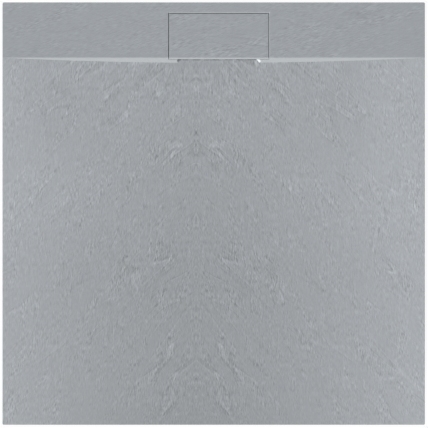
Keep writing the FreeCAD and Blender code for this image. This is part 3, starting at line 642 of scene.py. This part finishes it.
def raw_casting(name):
    """The cast back of the slab, rough and a little paler, with trowel marks."""
    g = Graph(name)
    place = g.place()
    swept = g.scaled(place, (1, 0.25, 1), turn=(0, 0, 20))
    trowel = g.noise(swept, 14, detail=5.0, roughness=0.65, distortion=0.6)
    grit = g.noise(place, 420, detail=3.0, roughness=0.7)
    colour = g.blend(g.span(trowel, 0.3, 0.7), tinted(GELCOAT, 1.05), tinted(GELCOAT, 1.35))
    height = g.math("ADD", g.math("MULTIPLY", trowel, 0.8), g.math("MULTIPLY", grit, 0.2))
    return g.principled(Base_Color=colour, Roughness=0.8, Normal=g.bump(height, 0.8 * MM))


# ---- materials of the fittings ----


def moulded_plastic(name, colour, roughness, grain_depth=0.03 * MM, speckle=0.05):
    """Moulded plastic with a fine eroded grain and slightly uneven sheen."""
    g = Graph(name)
    place = g.place()
    grain = g.noise(place, 1400, detail=2.0)
    flow = g.noise(g.scaled(place, (1, 1, 0.4)), 70, detail=3.0, roughness=0.6, distortion=0.4)
    shade = g.math("ADD", g.span(grain, 0.3, 0.7, -speckle, speckle), g.span(flow, 0.3, 0.7, 0.96, 1.04))
    sheen = g.span(flow, 0.3, 0.7, roughness - 0.05, roughness + 0.06)
    normal = g.bump(grain, grain_depth)
    return g.principled(Base_Color=g.shaded(colour, shade), Roughness=sheen, Normal=normal)


def turned_metal(name, colour, roughness):
    """Metal with fine marks that run round the drain's axis."""
    g = Graph(name)
    place = g.place()
    x, y, z = g.separate(place)
    across = g.math("SUBTRACT", x, DRAIN_X)
    along = g.math("SUBTRACT", y, DRAIN_Y)
    squares = g.math("ADD", g.math("MULTIPLY", across, across), g.math("MULTIPLY", along, along))
    round_axis = g.math("MULTIPLY", g.math("ARCTAN2", along, across), 1.5 * MM)
    marks = g.noise(g.combine(g.math("SQRT", squares), round_axis, z), 2600, detail=2.0)
    stain = g.noise(place, 55, detail=3.0, roughness=0.6)
    tone = g.blend(stain, tinted(colour, 0.92), tinted(colour, 1.06))
    stained = g.span(stain, 0.3, 0.7, roughness - 0.03, roughness + 0.05)
    sheen = g.math("ADD", g.span(marks, 0.3, 0.7, -0.06, 0.06), stained)
    return g.principled(Base_Color=tone, Metallic=1.0, Roughness=sheen, Normal=g.bump(marks, 0.015 * MM))


def rubber(name):
    """Black rubber with a fine grain and a dull bloom."""
    g = Graph(name)
    place = g.place()
    grain = g.noise(place, 1100, detail=3.0, roughness=0.6)
    bloom = g.noise(place, 45, detail=4.0, roughness=0.65)
    colour = g.blend(g.span(bloom, 0.35, 0.75), grey(0.026), grey(0.048))
    sheen = g.span(bloom, 0.3, 0.7, 0.68, 0.82)
    return g.principled(Base_Color=colour, Roughness=sheen, Normal=g.bump(grain, 0.05 * MM))


# ---- the tray ----


def plain_floor(x, y):
    """Height of the dished floor without its relief."""
    reach = (y - DISH_FRONT) / (BAND_EDGE - DISH_FRONT)
    return RIM - DISH_FALL * (1 - (x / DISH_HALF_WIDTH) ** 2) * reach


def floor_relief_share(x, y):
    """The relief is full on the floor and fades towards the outer edges and the foot of the step."""
    inset = np.minimum(TRAY_HIGH.x - np.abs(x), y - TRAY_LOW.y)
    foot = BAND_EDGE - (RIM - plain_floor(x, y)) * STEP_SLOPE
    return (0.35 + 0.65 * ramp(inset, 0, 16 * MM)) * (0.15 + 0.85 * ramp(foot - y, 0, 7 * MM))


def band_relief_share(x, y):
    inset = np.minimum(TRAY_HIGH.x - np.abs(x), TRAY_HIGH.y - y)
    return (0.35 + 0.65 * ramp(inset, 0, 10 * MM)) * (0.15 + 0.85 * ramp(y - BAND_EDGE, 0, 6 * MM))


def step_profile():
    """Side view of the rear block: up the inclined step, over its rounded edge and back."""
    edge_radius = 2.0 * MM
    tilt = math.atan2(DISH_FALL, STEP_RUN)
    setback = edge_radius * math.tan(tilt / 2)
    centre = (BAND_EDGE + setback, RIM - edge_radius)
    steps = 4
    arc = []
    for step in range(steps + 1):
        angle = tilt * (1 - step / steps)
        arc.append((centre[0] - edge_radius * math.sin(angle), centre[1] + edge_radius * math.cos(angle)))
    below = 22 * MM
    behind = TRAY_HIGH.y + 10 * MM
    foot = (BAND_EDGE - below * STEP_SLOPE, RIM - below)
    return [foot, *arc, (behind, RIM), (behind, BELOW_SLAB), (foot[0], BELOW_SLAB)]


def blank():
    """Outer shape of the slab, with rounded upright corners and soft top and bottom edges."""
    corner = 3 * MM
    edge = 1.2 * MM
    lower_bevel = 0.8 * MM
    steps = 4
    profile = [(lower_bevel, TRAY_LOW.z), (0, TRAY_LOW.z + lower_bevel)]
    for step in range(steps + 1):
        angle = math.pi / 2 * step / steps
        profile.append((edge * (1 - math.cos(angle)), RIM - edge + edge * math.sin(angle)))
    profile.append((edge, RIM + 5 * MM))
    outlines = []
    for inset, z in profile:
        low = (TRAY_LOW.x + inset, TRAY_LOW.y + inset)
        high = (TRAY_HIGH.x - inset, TRAY_HIGH.y - inset)
        outlines.append(rounded_rectangle(low, high, z, corner - inset))
    return slices("blank", outlines)


def rebate_cutter():
    """Seat of the cover. Its upper edge is softly rounded, most at the rear and least on the left."""
    low = (COVER_LOW.x - COVER_GAP, REBATE_FRONT - 6 * MM)
    high = (COVER_HIGH.x + COVER_GAP, COVER_HIGH.y + COVER_GAP)
    corner = 1.5 * MM
    left_share, right_share = 0.3, 0.8
    upright = [(0, COVER_SEAT), (0, RIM - 1.9 * MM)]
    flare = [(0.6 * MM, RIM - 1.3 * MM), (7.2 * MM, ABOVE_RIM)]
    outlines = []
    for grow, z in upright + flare:
        front_left = (low[0] - grow * left_share, low[1] - grow)
        rear_right = (high[0] + grow * right_share, high[1] + grow)
        outlines.append(rounded_rectangle(front_left, rear_right, z, corner + grow * left_share))
    return slices("rebate_cutter", outlines)


def recess_cutter():
    """Space under the cover. It widens forward into the slot, whose floor the dished floor fills again.

    Each section is a half width at the recess floor, at the top of a low slope, and above the rim.
    """
    slope_height = 7.2 * MM
    reach_on = 14 * MM
    lip_end = SLOT_BACK + LIP_RUN
    rear = (RECESS_HALF, RECESS_HALF + slope_height, RECESS_HALF + RECESS_FLARE)
    back = (SLOT_BACK_HALF - 4.5 * MM, SLOT_BACK_HALF + 6.3 * MM, SLOT_BACK_HALF + 9.5 * MM)
    front = [half + SLOT_SPLAY * (SLOT_BACK - SLOT_FRONT) for half in back]
    beyond = [half + SLOT_SPLAY * reach_on for half in front]
    sections = [
        (RECESS_REAR, rear), (lip_end, rear), (SLOT_BACK, back), (SLOT_FRONT, front),
        (SLOT_FRONT - reach_on, beyond),
    ]
    slope_top = RECESS_FLOOR + slope_height
    outlines = []
    for y, (lower, middle, upper) in sections:
        outlines.append([
            (DRAIN_X - lower, y, RECESS_FLOOR), (DRAIN_X + lower, y, RECESS_FLOOR),
            (DRAIN_X + middle, y, slope_top), (DRAIN_X + upper, y, ABOVE_RIM),
            (DRAIN_X - upper, y, ABOVE_RIM), (DRAIN_X - middle, y, slope_top),
        ])
    near = 0.1 * MM

    def is_rounded(edge):
        """Edges of the part behind the lip: along its floor and in its rear face, all but the top one."""
        ys = [corner.co.y for corner in edge.verts]
        low = min(corner.co.z for corner in edge.verts)
        if min(ys) < lip_end - near or max(ys) < lip_end + near:
            return False
        return low < RECESS_FLOOR + near or (min(ys) > RECESS_REAR - near and low < ABOVE_RIM - near)

    cutter = slices("recess_cutter", outlines)
    bm = bmesh.new()
    bm.from_mesh(cutter.data)
    rounded = [edge for edge in bm.edges if is_rounded(edge)]
    bmesh.ops.bevel(bm, geom=rounded, offset=4 * MM, segments=3, profile=0.5, affect="EDGES",
                    clamp_overlap=True)
    bm.to_mesh(cutter.data)
    bm.free()
    return cutter


def lip_cutter():
    """Slope from the dished floor's rear end, under the cover's front edge, down to the recess floor."""
    start, high = SLOT_BACK - 0.6 * MM, RIM - DISH_FALL + 0.5 * MM
    behind = BAND_EDGE + 20 * MM
    above = RIM + 1 * MM
    profile = [
        (start, high), (SLOT_BACK + LIP_RUN, RECESS_FLOOR), (behind, RECESS_FLOOR), (behind, above),
        (start, above),
    ]
    sides = (DRAIN_X - SLOT_FRONT_HALF, DRAIN_X + SLOT_FRONT_HALF)
    return slices("lip_cutter", [[(x, y, z) for y, z in profile] for x in sides])


def round_cutter(name, radius, low, high):
    """Round hole at the drain, from low to high, with a softly flared mouth."""
    soft, over = 0.6 * MM, 1 * MM
    mouth = (radius + soft + over, high + over)
    outline = [(0, low), (radius, low), (radius, high - soft), mouth, (0, high + over)]
    cutter = lathe(name, outline, 96)
    cutter.data.transform(Matrix.Translation((DRAIN_X, DRAIN_Y, 0)))
    return cutter


FLOOR, BAND, SMOOTH, RAW = range(4)  # the casting's material slots
FACES_UP = 0.93
RELIEF_REACH = 1.6 * MM


def sort_faces(piece):
    """Gives each face of the casting the material that its place calls for."""
    mesh = piece.data
    count = len(mesh.polygons)
    centres = np.empty(count * 3)
    normals = np.empty(count * 3)
    mesh.polygons.foreach_get("center", centres)
    mesh.polygons.foreach_get("normal", normals)
    x, y, z = centres.reshape(-1, 3).T
    up = normals.reshape(-1, 3)[:, 2]
    plain = plain_floor(x, y)
    choice = np.full(count, SMOOTH)
    choice[(up > FACES_UP) & (y < BAND_EDGE) & (z < plain) & (z > plain - RELIEF_REACH)] = FLOOR
    choice[(up > FACES_UP) & (y > BAND_EDGE) & (z > RIM - RELIEF_REACH)] = BAND
    choice[(up < -0.5) & (z < TRAY_LOW.z + 1 * MM)] = RAW
    mesh.polygons.foreach_set("material_index", choice.astype(np.int32))


def floor_block():
    """Slab under the dished floor, with the floor's relief, and with the lip cut at its rear."""
    slate = Slate(11)

    def height(x, y):
        relief = slate(np.abs(x - MIRROR_X) + FLOOR_STREAK_LEAN * y, y)
        return plain_floor(x, y) - sunk(relief, floor_relief_share(x, y))

    xs = spaced(TRAY_LOW.x - GRID_MARGIN, TRAY_HIGH.x + GRID_MARGIN, FLOOR_GRID[0])
    ys = spaced(TRAY_LOW.y - GRID_MARGIN, BAND_EDGE + 4 * MM, FLOOR_GRID[1])
    block = relief_block("tray_slate", xs, ys, height, BELOW_SLAB)
    combine(block, lip_cutter(), "DIFFERENCE")
    return block


def band_block():
    """Rear block with the band's relief and the inclined step, and with the space for the cover."""
    slate = Slate(31, 0.7, grit=0.03)

    def height(x, y):
        return RIM - sunk(slate(*oblique(x, y), slant=BAND_CRACK_SLANT), band_relief_share(x, y))

    xs = spaced(TRAY_LOW.x - GRID_MARGIN, TRAY_HIGH.x + GRID_MARGIN, BAND_GRID[0])
    ys = spaced(BAND_EDGE - 24 * MM, TRAY_HIGH.y + GRID_MARGIN, BAND_GRID[1])
    block = relief_block("band", xs, ys, height, BELOW_SLAB)
    sides = (TRAY_LOW.x - 10 * MM, TRAY_HIGH.x + 10 * MM)
    rear_block = slices("rear_block", [[(x, y, z) for y, z in step_profile()] for x in sides])
    combine(block, rear_block, "INTERSECT")
    combine(block, rebate_cutter(), "DIFFERENCE")
    combine(block, recess_cutter(), "DIFFERENCE")
    return block


def build_tray():
    seat = round_cutter("flange_seat", FLANGE_REBATE_RADIUS, FLANGE_SEAT, RECESS_FLOOR)
    hole = round_cutter("waste_hole", WASTE_HOLE_RADIUS, TRAY_LOW.z - 5 * MM, FLANGE_SEAT)
    tray = floor_block()
    combine(tray, band_block(), "UNION")
    combine(tray, blank(), "INTERSECT")
    combine(tray, seat, "DIFFERENCE")
    combine(tray, hole, "DIFFERENCE")
    tray.data.materials.clear()
    for material in (
        gelcoat("slate_floor", FLOOR_GELCOAT, True, FLOOR_BUMP),
        gelcoat("slate_band", GELCOAT, False, BAND_BUMP, BAND_GRAIN),
        smooth_gelcoat("smooth_gelcoat"),
        raw_casting("raw_back"),
    ):
        tray.data.materials.append(material)
    sort_faces(tray)
    register(tray, "cast_stone", "root", "tray_body")


# ---- the cover ----


def cover_shape():
    """Plate whose front edge continues the inclined step. Its upper edges are soft, most so on the right."""
    soft = 0.5 * MM
    right_share = 2.4
    corner = 0.6 * MM
    nose = COVER_LOW.z + 1.2 * MM
    points = []
    for inset, z in ((0, COVER_LOW.z), (0, nose), (0, RIM - soft), (soft, RIM)):
        front = BAND_EDGE - (RIM - max(z, nose)) * STEP_SLOPE + max(nose - z, 0) / 2
        left, right = COVER_LOW.x + inset, COVER_HIGH.x - right_share * inset
        rear = COVER_HIGH.y - inset
        points += [(left, front, z), (right, front, z)]
        points += [(left, rear - corner, z), (left + corner, rear, z)]
        points += [(right, rear - corner, z), (right - corner, rear, z)]
    return hull("cover_shape", points)


def build_cover():
    slate = Slate(57, 0.75, grit=0.03)

    def height(x, y):
        inset = np.minimum(np.minimum(x - COVER_LOW.x, COVER_HIGH.x - x), COVER_HIGH.y - y)
        share = (0.2 + 0.8 * ramp(inset, 0, 5 * MM)) * (0.15 + 0.85 * ramp(y - BAND_EDGE, 0, 5 * MM))
        return RIM - sunk(slate(*oblique(x, y), slant=BAND_CRACK_SLANT), share)

    xs = spaced(COVER_LOW.x - GRID_MARGIN, COVER_HIGH.x + GRID_MARGIN, COVER_GRID[0])
    ys = spaced(COVER_LOW.y - GRID_MARGIN, COVER_HIGH.y + GRID_MARGIN, COVER_GRID[1])
    cover = relief_block("cover_slate", xs, ys, height, COVER_LOW.z - 1 * MM)
    combine(cover, cover_shape(), "INTERSECT")
    cover.data.materials.clear()
    cover.data.materials.append(gelcoat("slate_cover", GELCOAT, False, BAND_BUMP, COVER_GRAIN))
    cover.data.materials.append(bpy.data.materials["smooth_gelcoat"])
    normals = np.empty(len(cover.data.polygons) * 3)
    cover.data.polygons.foreach_get("normal", normals)
    is_edge = normals.reshape(-1, 3)[:, 2] < 0.8
    cover.data.polygons.foreach_set("material_index", is_edge.astype(np.int32))
    register(cover, "cast_stone", "cover", "drain_cover")


# ---- adjustable legs ----

THREAD_PITCH = 3 * MM
THREAD_DEPTH = 1.0 * MM
STEM_BORE = 12.3 * MM
SOFT_EDGE = 0.8 * MM
GUSSETS = 6
RING_LUGS = 8
FOOT_RIBS = 8


def wave(angle, count, share=0.5, edge=0.12):
    """1 on each of the evenly spaced ribs round a circle and 0 between them, with sloping sides."""
    turn = (angle / (2 * math.pi) * count) % 1
    return float(np.clip((share / 2 - abs(turn - 0.5)) / edge + 0.5, 0, 1))


def leg_head():
    """Glued plate with gussets, over a socket with a round bore and a collar."""
    low, high = HEAD_LOW.z, HEAD_HIGH.z
    boss, cone, plate = 17 * MM, 24 * MM, 45 * MM
    under = high - 4 * MM
    bore_end = high - 2 * MM
    outline = [
        (0, bore_end), (STEM_BORE, bore_end), (STEM_BORE, low + SOFT_EDGE), (STEM_BORE + SOFT_EDGE, low),
        (boss - SOFT_EDGE, low), (boss, low + SOFT_EDGE), (boss, under - 8 * MM),
        (cone, under - 0.3 * MM), (cone + 1 * MM, under),
        (plate - SOFT_EDGE, under), (plate, under + SOFT_EDGE),
        (plate, high - SOFT_EDGE), (plate - SOFT_EDGE, high), (0, high),
    ]
    head = lathe("leg_head", outline, 72)

    inside = boss - 2 * MM
    collar_low, collar_high = low + 7 * MM, low + 10.5 * MM
    edge, bevel = boss + 1.9 * MM, 0.5 * MM
    collar = [
        (inside, collar_low), (edge - bevel, collar_low), (edge, collar_low + bevel),
        (edge, collar_high - bevel), (edge - bevel, collar_high), (inside, collar_high),
    ]
    combine(head, lathe("collar", collar, 72), "UNION")

    gusset = [
        (inside, under + 1 * MM), (inside, collar_low + 1 * MM), (boss + 1 * MM, collar_low + 2 * MM),
        (boss + 4 * MM, low + 24 * MM),
        (plate - 5 * MM, under - 1.5 * MM), (plate - 5 * MM, under + 1 * MM),
    ]
    thickness = 2.4 * MM
    for index in range(GUSSETS):
        combine(head, fin("gusset", gusset, thickness, 2 * math.pi * index / GUSSETS), "UNION")
    return head


def lock_ring():
    """Ring with lugs for the fingers."""
    low, high = RING_LOW.z, RING_HIGH.z
    root, outer = 19.2 * MM, 22 * MM

    def lugs(angle, radius, z):
        if radius < root:
            return radius, z
        return radius - (outer - root) * (1 - wave(angle, RING_LUGS, 0.55)), z

    outline = [
        (STEM_BORE, high - SOFT_EDGE), (STEM_BORE, low + SOFT_EDGE), (STEM_BORE + SOFT_EDGE, low),
        (outer - SOFT_EDGE, low), (outer, low + SOFT_EDGE),
        (outer, high - SOFT_EDGE), (outer - SOFT_EDGE, high), (STEM_BORE + SOFT_EDGE, high),
    ]
    return lathe("lock_ring", outline, 96, lugs)


def leg_foot():
    """Ribbed disc and hub with a threaded stem."""
    low, high = FOOT_LOW.z, FOOT_HIGH.z
    disc, hub, stem = 35 * MM, 20 * MM, 12 * MM
    disc_top = low + 6 * MM
    hub_top = disc_top + 4 * MM
    pocket = 3.4 * MM
    rim = [
        (0, low), (disc - SOFT_EDGE, low), (disc, low + SOFT_EDGE), (disc, disc_top - SOFT_EDGE),
        (disc - SOFT_EDGE, disc_top), (disc - 2.6 * MM, disc_top),
    ]
    pocketed = [(disc - 3.0 * MM, disc_top), (disc - 5 * MM, disc_top), (hub + 3 * MM, disc_top)]
    cone = [
        (hub + 1.2 * MM, disc_top), (hub, disc_top + 0.2 * MM), (hub - 1 * MM, disc_top + 1 * MM),
        (stem + 2.0 * MM, hub_top - 0.3 * MM), (stem + 0.4 * MM, hub_top),
    ]
    thread_low, thread_high = hub_top + 1 * MM, high - 1.5 * MM
    rings_per_pitch = 6
    steps = int(round((thread_high - thread_low) / THREAD_PITCH * rings_per_pitch))
    thread = [(stem, thread_low + (thread_high - thread_low) * step / steps) for step in range(steps + 1)]
    top = [(stem - 1.5 * MM, high), (0, high)]
    ribbed = {radius for radius, _ in pocketed}

    def shape(angle, radius, z):
        if radius in ribbed:
            return radius, z - pocket * (1 - wave(angle, FOOT_RIBS, 0.22, 0.06))
        if radius == stem:
            turn = (z / THREAD_PITCH - angle / (2 * math.pi)) % 1
            groove = float(np.clip(1.5 - 3.2 * abs(turn - 0.5), 0, 1))
            fade = min(1.0, (z - thread_low) / THREAD_PITCH, (thread_high - z) / THREAD_PITCH)
            return radius - THREAD_DEPTH * (1 - groove) * max(fade, 0.0), z
        return radius, z

    return lathe("leg_foot", rim + pocketed + cone + thread + top, 96, shape)


def foot_sole():
    """Rubber sole with rings of tread below."""
    low, high = SOLE_LOW.z, SOLE_HIGH.z
    edge, bevel = 34 * MM, 0.5 * MM
    groove_depth, groove_side, groove_width, groove_spacing = 0.8 * MM, 0.5 * MM, 2 * MM, 5 * MM
    outline = [(0, high), (edge, high), (edge, low + bevel), (edge - bevel, low)]
    radius = edge - 3 * MM
    while radius > 6 * MM:
        inner = radius - groove_width
        outline += [
            (radius, low), (radius - groove_side, low + groove_depth),
            (inner + groove_side, low + groove_depth), (inner, low),
        ]
        radius -= groove_spacing
    outline.append((0, low))
    return lathe("foot_sole", outline, 64)


def build_legs(plastic, sole_rubber):
    kinds = (
        ("leg_head", leg_head(), plastic, "leg_plastic", "root"),
        ("lock_ring", lock_ring(), plastic, "leg_plastic", "root"),
        ("leg_foot", leg_foot(), plastic, "leg_plastic", "leg"),
        ("foot_sole", foot_sole(), sole_rubber, "rubber", "leg"),
    )
    for kind, model, material, slot, body in kinds:
        for number in LEG_NUMBERS:
            node = f"{kind}_{number}"
            low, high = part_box(node)
            mesh = model.data.copy()
            mesh.transform(Matrix.Translation(((low.x + high.x) / 2, (low.y + high.y) / 2, 0)))
            piece = new_piece(f"{node}_detailed", mesh)
            finished(piece, material, slot, "root" if body == "root" else f"leg_{number}", node)
        bpy.data.objects.remove(model)


# ---- trap ----

NUT_RIBS = 24
TRAP_GUSSET_ANGLES = (0, 36, 72, 108, 252, 288, 324)


def build_nut(plastic):
    """Ribbed nut that holds the outlet's ball. It is turned round Z and then laid along X."""
    length = NUT_HIGH.x - NUT_LOW.x
    outer = (NUT_HIGH.z - NUT_LOW.z) / 2
    bore, mouth, mouth_bevel = 30.3 * MM, 26 * MM, 0.6 * MM
    lip, bevel, rib = 3 * MM, 2 * MM, 1.5 * MM

    def ribs(angle, radius, z):
        if radius < outer - 0.1 * MM:
            return radius, z
        return radius - rib * (1 - wave(angle, NUT_RIBS, 0.6, 0.15)), z

    outline = [
        (bore, 0), (bore, length - lip), (mouth, length - lip), (mouth, length - mouth_bevel),
        (mouth + mouth_bevel, length), (outer - bevel - rib, length), (outer, length - bevel),
        (outer, 2.6 * MM), (outer - rib, 2.2 * MM), (outer - rib, 0.5 * MM), (outer - rib - 0.5 * MM, 0),
    ]
    nut = lathe("ball_nut_ribbed", outline, 144, ribs)
    nut.data.transform(Matrix.Rotation(math.radians(-90), 4, "Y"))
    middle = (NUT_LOW + NUT_HIGH) / 2
    nut.data.transform(Matrix.Translation((NUT_HIGH.x, middle.y, middle.z)))
    finished(nut, plastic, "nut_plastic", "root", "ball_nut")


def build_trap_gussets(plastic):
    """Thin fins between the trap's flange and its bowl."""
    bowl, flange = 53 * MM, 62 * MM
    flange_underside = TRAY_LOW.z - 7 * MM
    upper, lower = flange_underside + 0.5 * MM, flange_underside - 18 * MM
    inside, outside = bowl - 1 * MM, flange - 1.5 * MM
    outline = [
        (inside, upper), (outside, upper), (outside, flange_underside - 1 * MM),
        (bowl + 0.8 * MM, lower), (inside, lower),
    ]
    fins = [fin("trap_gussets", outline, 2.5 * MM, math.radians(angle)) for angle in TRAP_GUSSET_ANGLES]
    gussets = join(fins)
    gussets.data.transform(Matrix.Translation((DRAIN_X, DRAIN_Y, 0)))
    finished(gussets, plastic, "trap_plastic", "root")


def build_fittings():
    black = moulded_plastic("leg_plastic_black", grey(0.052, -0.02), 0.5, 0.04 * MM, 0.1)
    seal = rubber("black_rubber")
    white = moulded_plastic("trap_plastic_white", grey(0.75, 0.01), 0.38)
    build_legs(black, seal)
    build_nut(moulded_plastic("nut_plastic_grey", grey(0.062, -0.03), 0.42, 0.03 * MM, 0.08))
    build_trap_gussets(white)
    dress(white, "trap_body", "trap_cup", "dip_tube", "outlet_pipe")
    dress(seal, "cover_pads", "flange_gasket", "trap_gasket", "dip_tube_seal", "ball_seal")
    dress(turned_metal("turned_stainless", (0.62, 0.62, 0.61), 0.27), "waste_flange", "flange_screws")
    dress(turned_metal("brass", (0.72, 0.55, 0.25), 0.3), "thread_inserts")
    dress(moulded_plastic("strainer_plastic_grey", grey(0.62, -0.01), 0.3, 0.015 * MM, 0.02),
          "hair_strainer", "strainer_knob")


# ---- studio ----

PIXEL = 2.367 * MM
TRAY_CENTRE_PX = (213.7, 213.6)
PHOTO_PX = 428
CAMERA_HEIGHT = 8.0
AMBIENT = 0.42
KEY_SHARE = 0.58
KEY_FROM = Vector((-1.7, -1.5, 1.0))
KEY_SOFTNESS = 16
STAGE_HALF = 20
STAGE_LEVEL = -0.2 * MM
STAGE_PAPER = 0.85
STAGE_GLOW = 0.95


def build_camera():
    data = bpy.data.cameras.new("camera")
    data.sensor_width = 36
    width = PHOTO_PX * PIXEL
    data.lens = data.sensor_width / width * (CAMERA_HEIGHT - RIM)
    data.clip_end = 100
    camera = bpy.data.objects.new("camera", data)
    middle = PHOTO_PX / 2
    camera.location = (
        (middle - TRAY_CENTRE_PX[0]) * PIXEL,
        (TRAY_CENTRE_PX[1] - middle) * PIXEL,
        CAMERA_HEIGHT,
    )
    bpy.context.scene.collection.objects.link(camera)
    bpy.context.scene.camera = camera


def seen_directly(tree):
    """1 for rays that come from the camera, a mirror reflection or through something clear."""
    path = tree.nodes.new("ShaderNodeLightPath")
    total = None
    for ray in ("Is Camera Ray", "Is Glossy Ray", "Is Transmission Ray"):
        if total is None:
            total = path.outputs[ray]
            continue
        highest = tree.nodes.new("ShaderNodeMath")
        highest.operation = "MAXIMUM"
        tree.links.new(total, highest.inputs[0])
        tree.links.new(path.outputs[ray], highest.inputs[1])
        total = highest.outputs[0]
    return total


def build_world():
    world = bpy.data.worlds.new("studio")
    world.use_nodes = True
    tree = world.node_tree
    tree.nodes.clear()
    output = tree.nodes.new("ShaderNodeOutputWorld")
    mix = tree.nodes.new("ShaderNodeMixShader")
    ambient = tree.nodes.new("ShaderNodeBackground")
    ambient.inputs["Color"].default_value = (1, 1, 1, 1)
    ambient.inputs["Strength"].default_value = AMBIENT
    white = tree.nodes.new("ShaderNodeBackground")
    white.inputs["Color"].default_value = (1, 1, 1, 1)
    tree.links.new(seen_directly(tree), mix.inputs[0])
    tree.links.new(ambient.outputs[0], mix.inputs[1])
    tree.links.new(white.outputs[0], mix.inputs[2])
    tree.links.new(mix.outputs[0], output.inputs["Surface"])
    bpy.context.scene.world = world


def build_key():
    data = bpy.data.lights.new("key", "SUN")
    direction = KEY_FROM.normalized()
    data.energy = KEY_SHARE * math.pi / direction.z
    data.angle = math.radians(KEY_SOFTNESS)
    key = bpy.data.objects.new("key", data)
    key.rotation_mode = "QUATERNION"
    key.rotation_quaternion = direction.to_track_quat("Z", "Y")
    bpy.context.scene.collection.objects.link(key)


def build_stage():
    """Pale floor that looks white and keeps a light shadow."""
    turns = ((-1, -1), (1, -1), (1, 1), (-1, 1))
    corners = [(x * STAGE_HALF, y * STAGE_HALF, STAGE_LEVEL) for x, y in turns]
    mesh = bpy.data.meshes.new("stage_floor")
    mesh.from_pydata(corners, [], [(0, 1, 2, 3)])
    stage = new_piece("stage_floor", mesh)
    g = Graph("stage_white")
    paper = g.node("ShaderNodeBsdfDiffuse")
    paper.inputs["Color"].default_value = grey(STAGE_PAPER)
    glow = g.node("ShaderNodeEmission")
    mix = g.node("ShaderNodeMixShader")
    g.put(mix.inputs[0], g.math("MULTIPLY", seen_directly(g.tree), STAGE_GLOW))
    g.tree.links.new(paper.outputs[0], mix.inputs[1])
    g.tree.links.new(glow.outputs[0], mix.inputs[2])
    g.tree.links.new(mix.outputs[0], g.output.inputs["Surface"])
    mesh.materials.append(g.material)


# ---- the scene ----

build_tray()
build_cover()
build_fittings()
build_camera()
build_world()
build_key()
build_stage()
bpy.context.scene.view_settings.view_transform = "Standard"
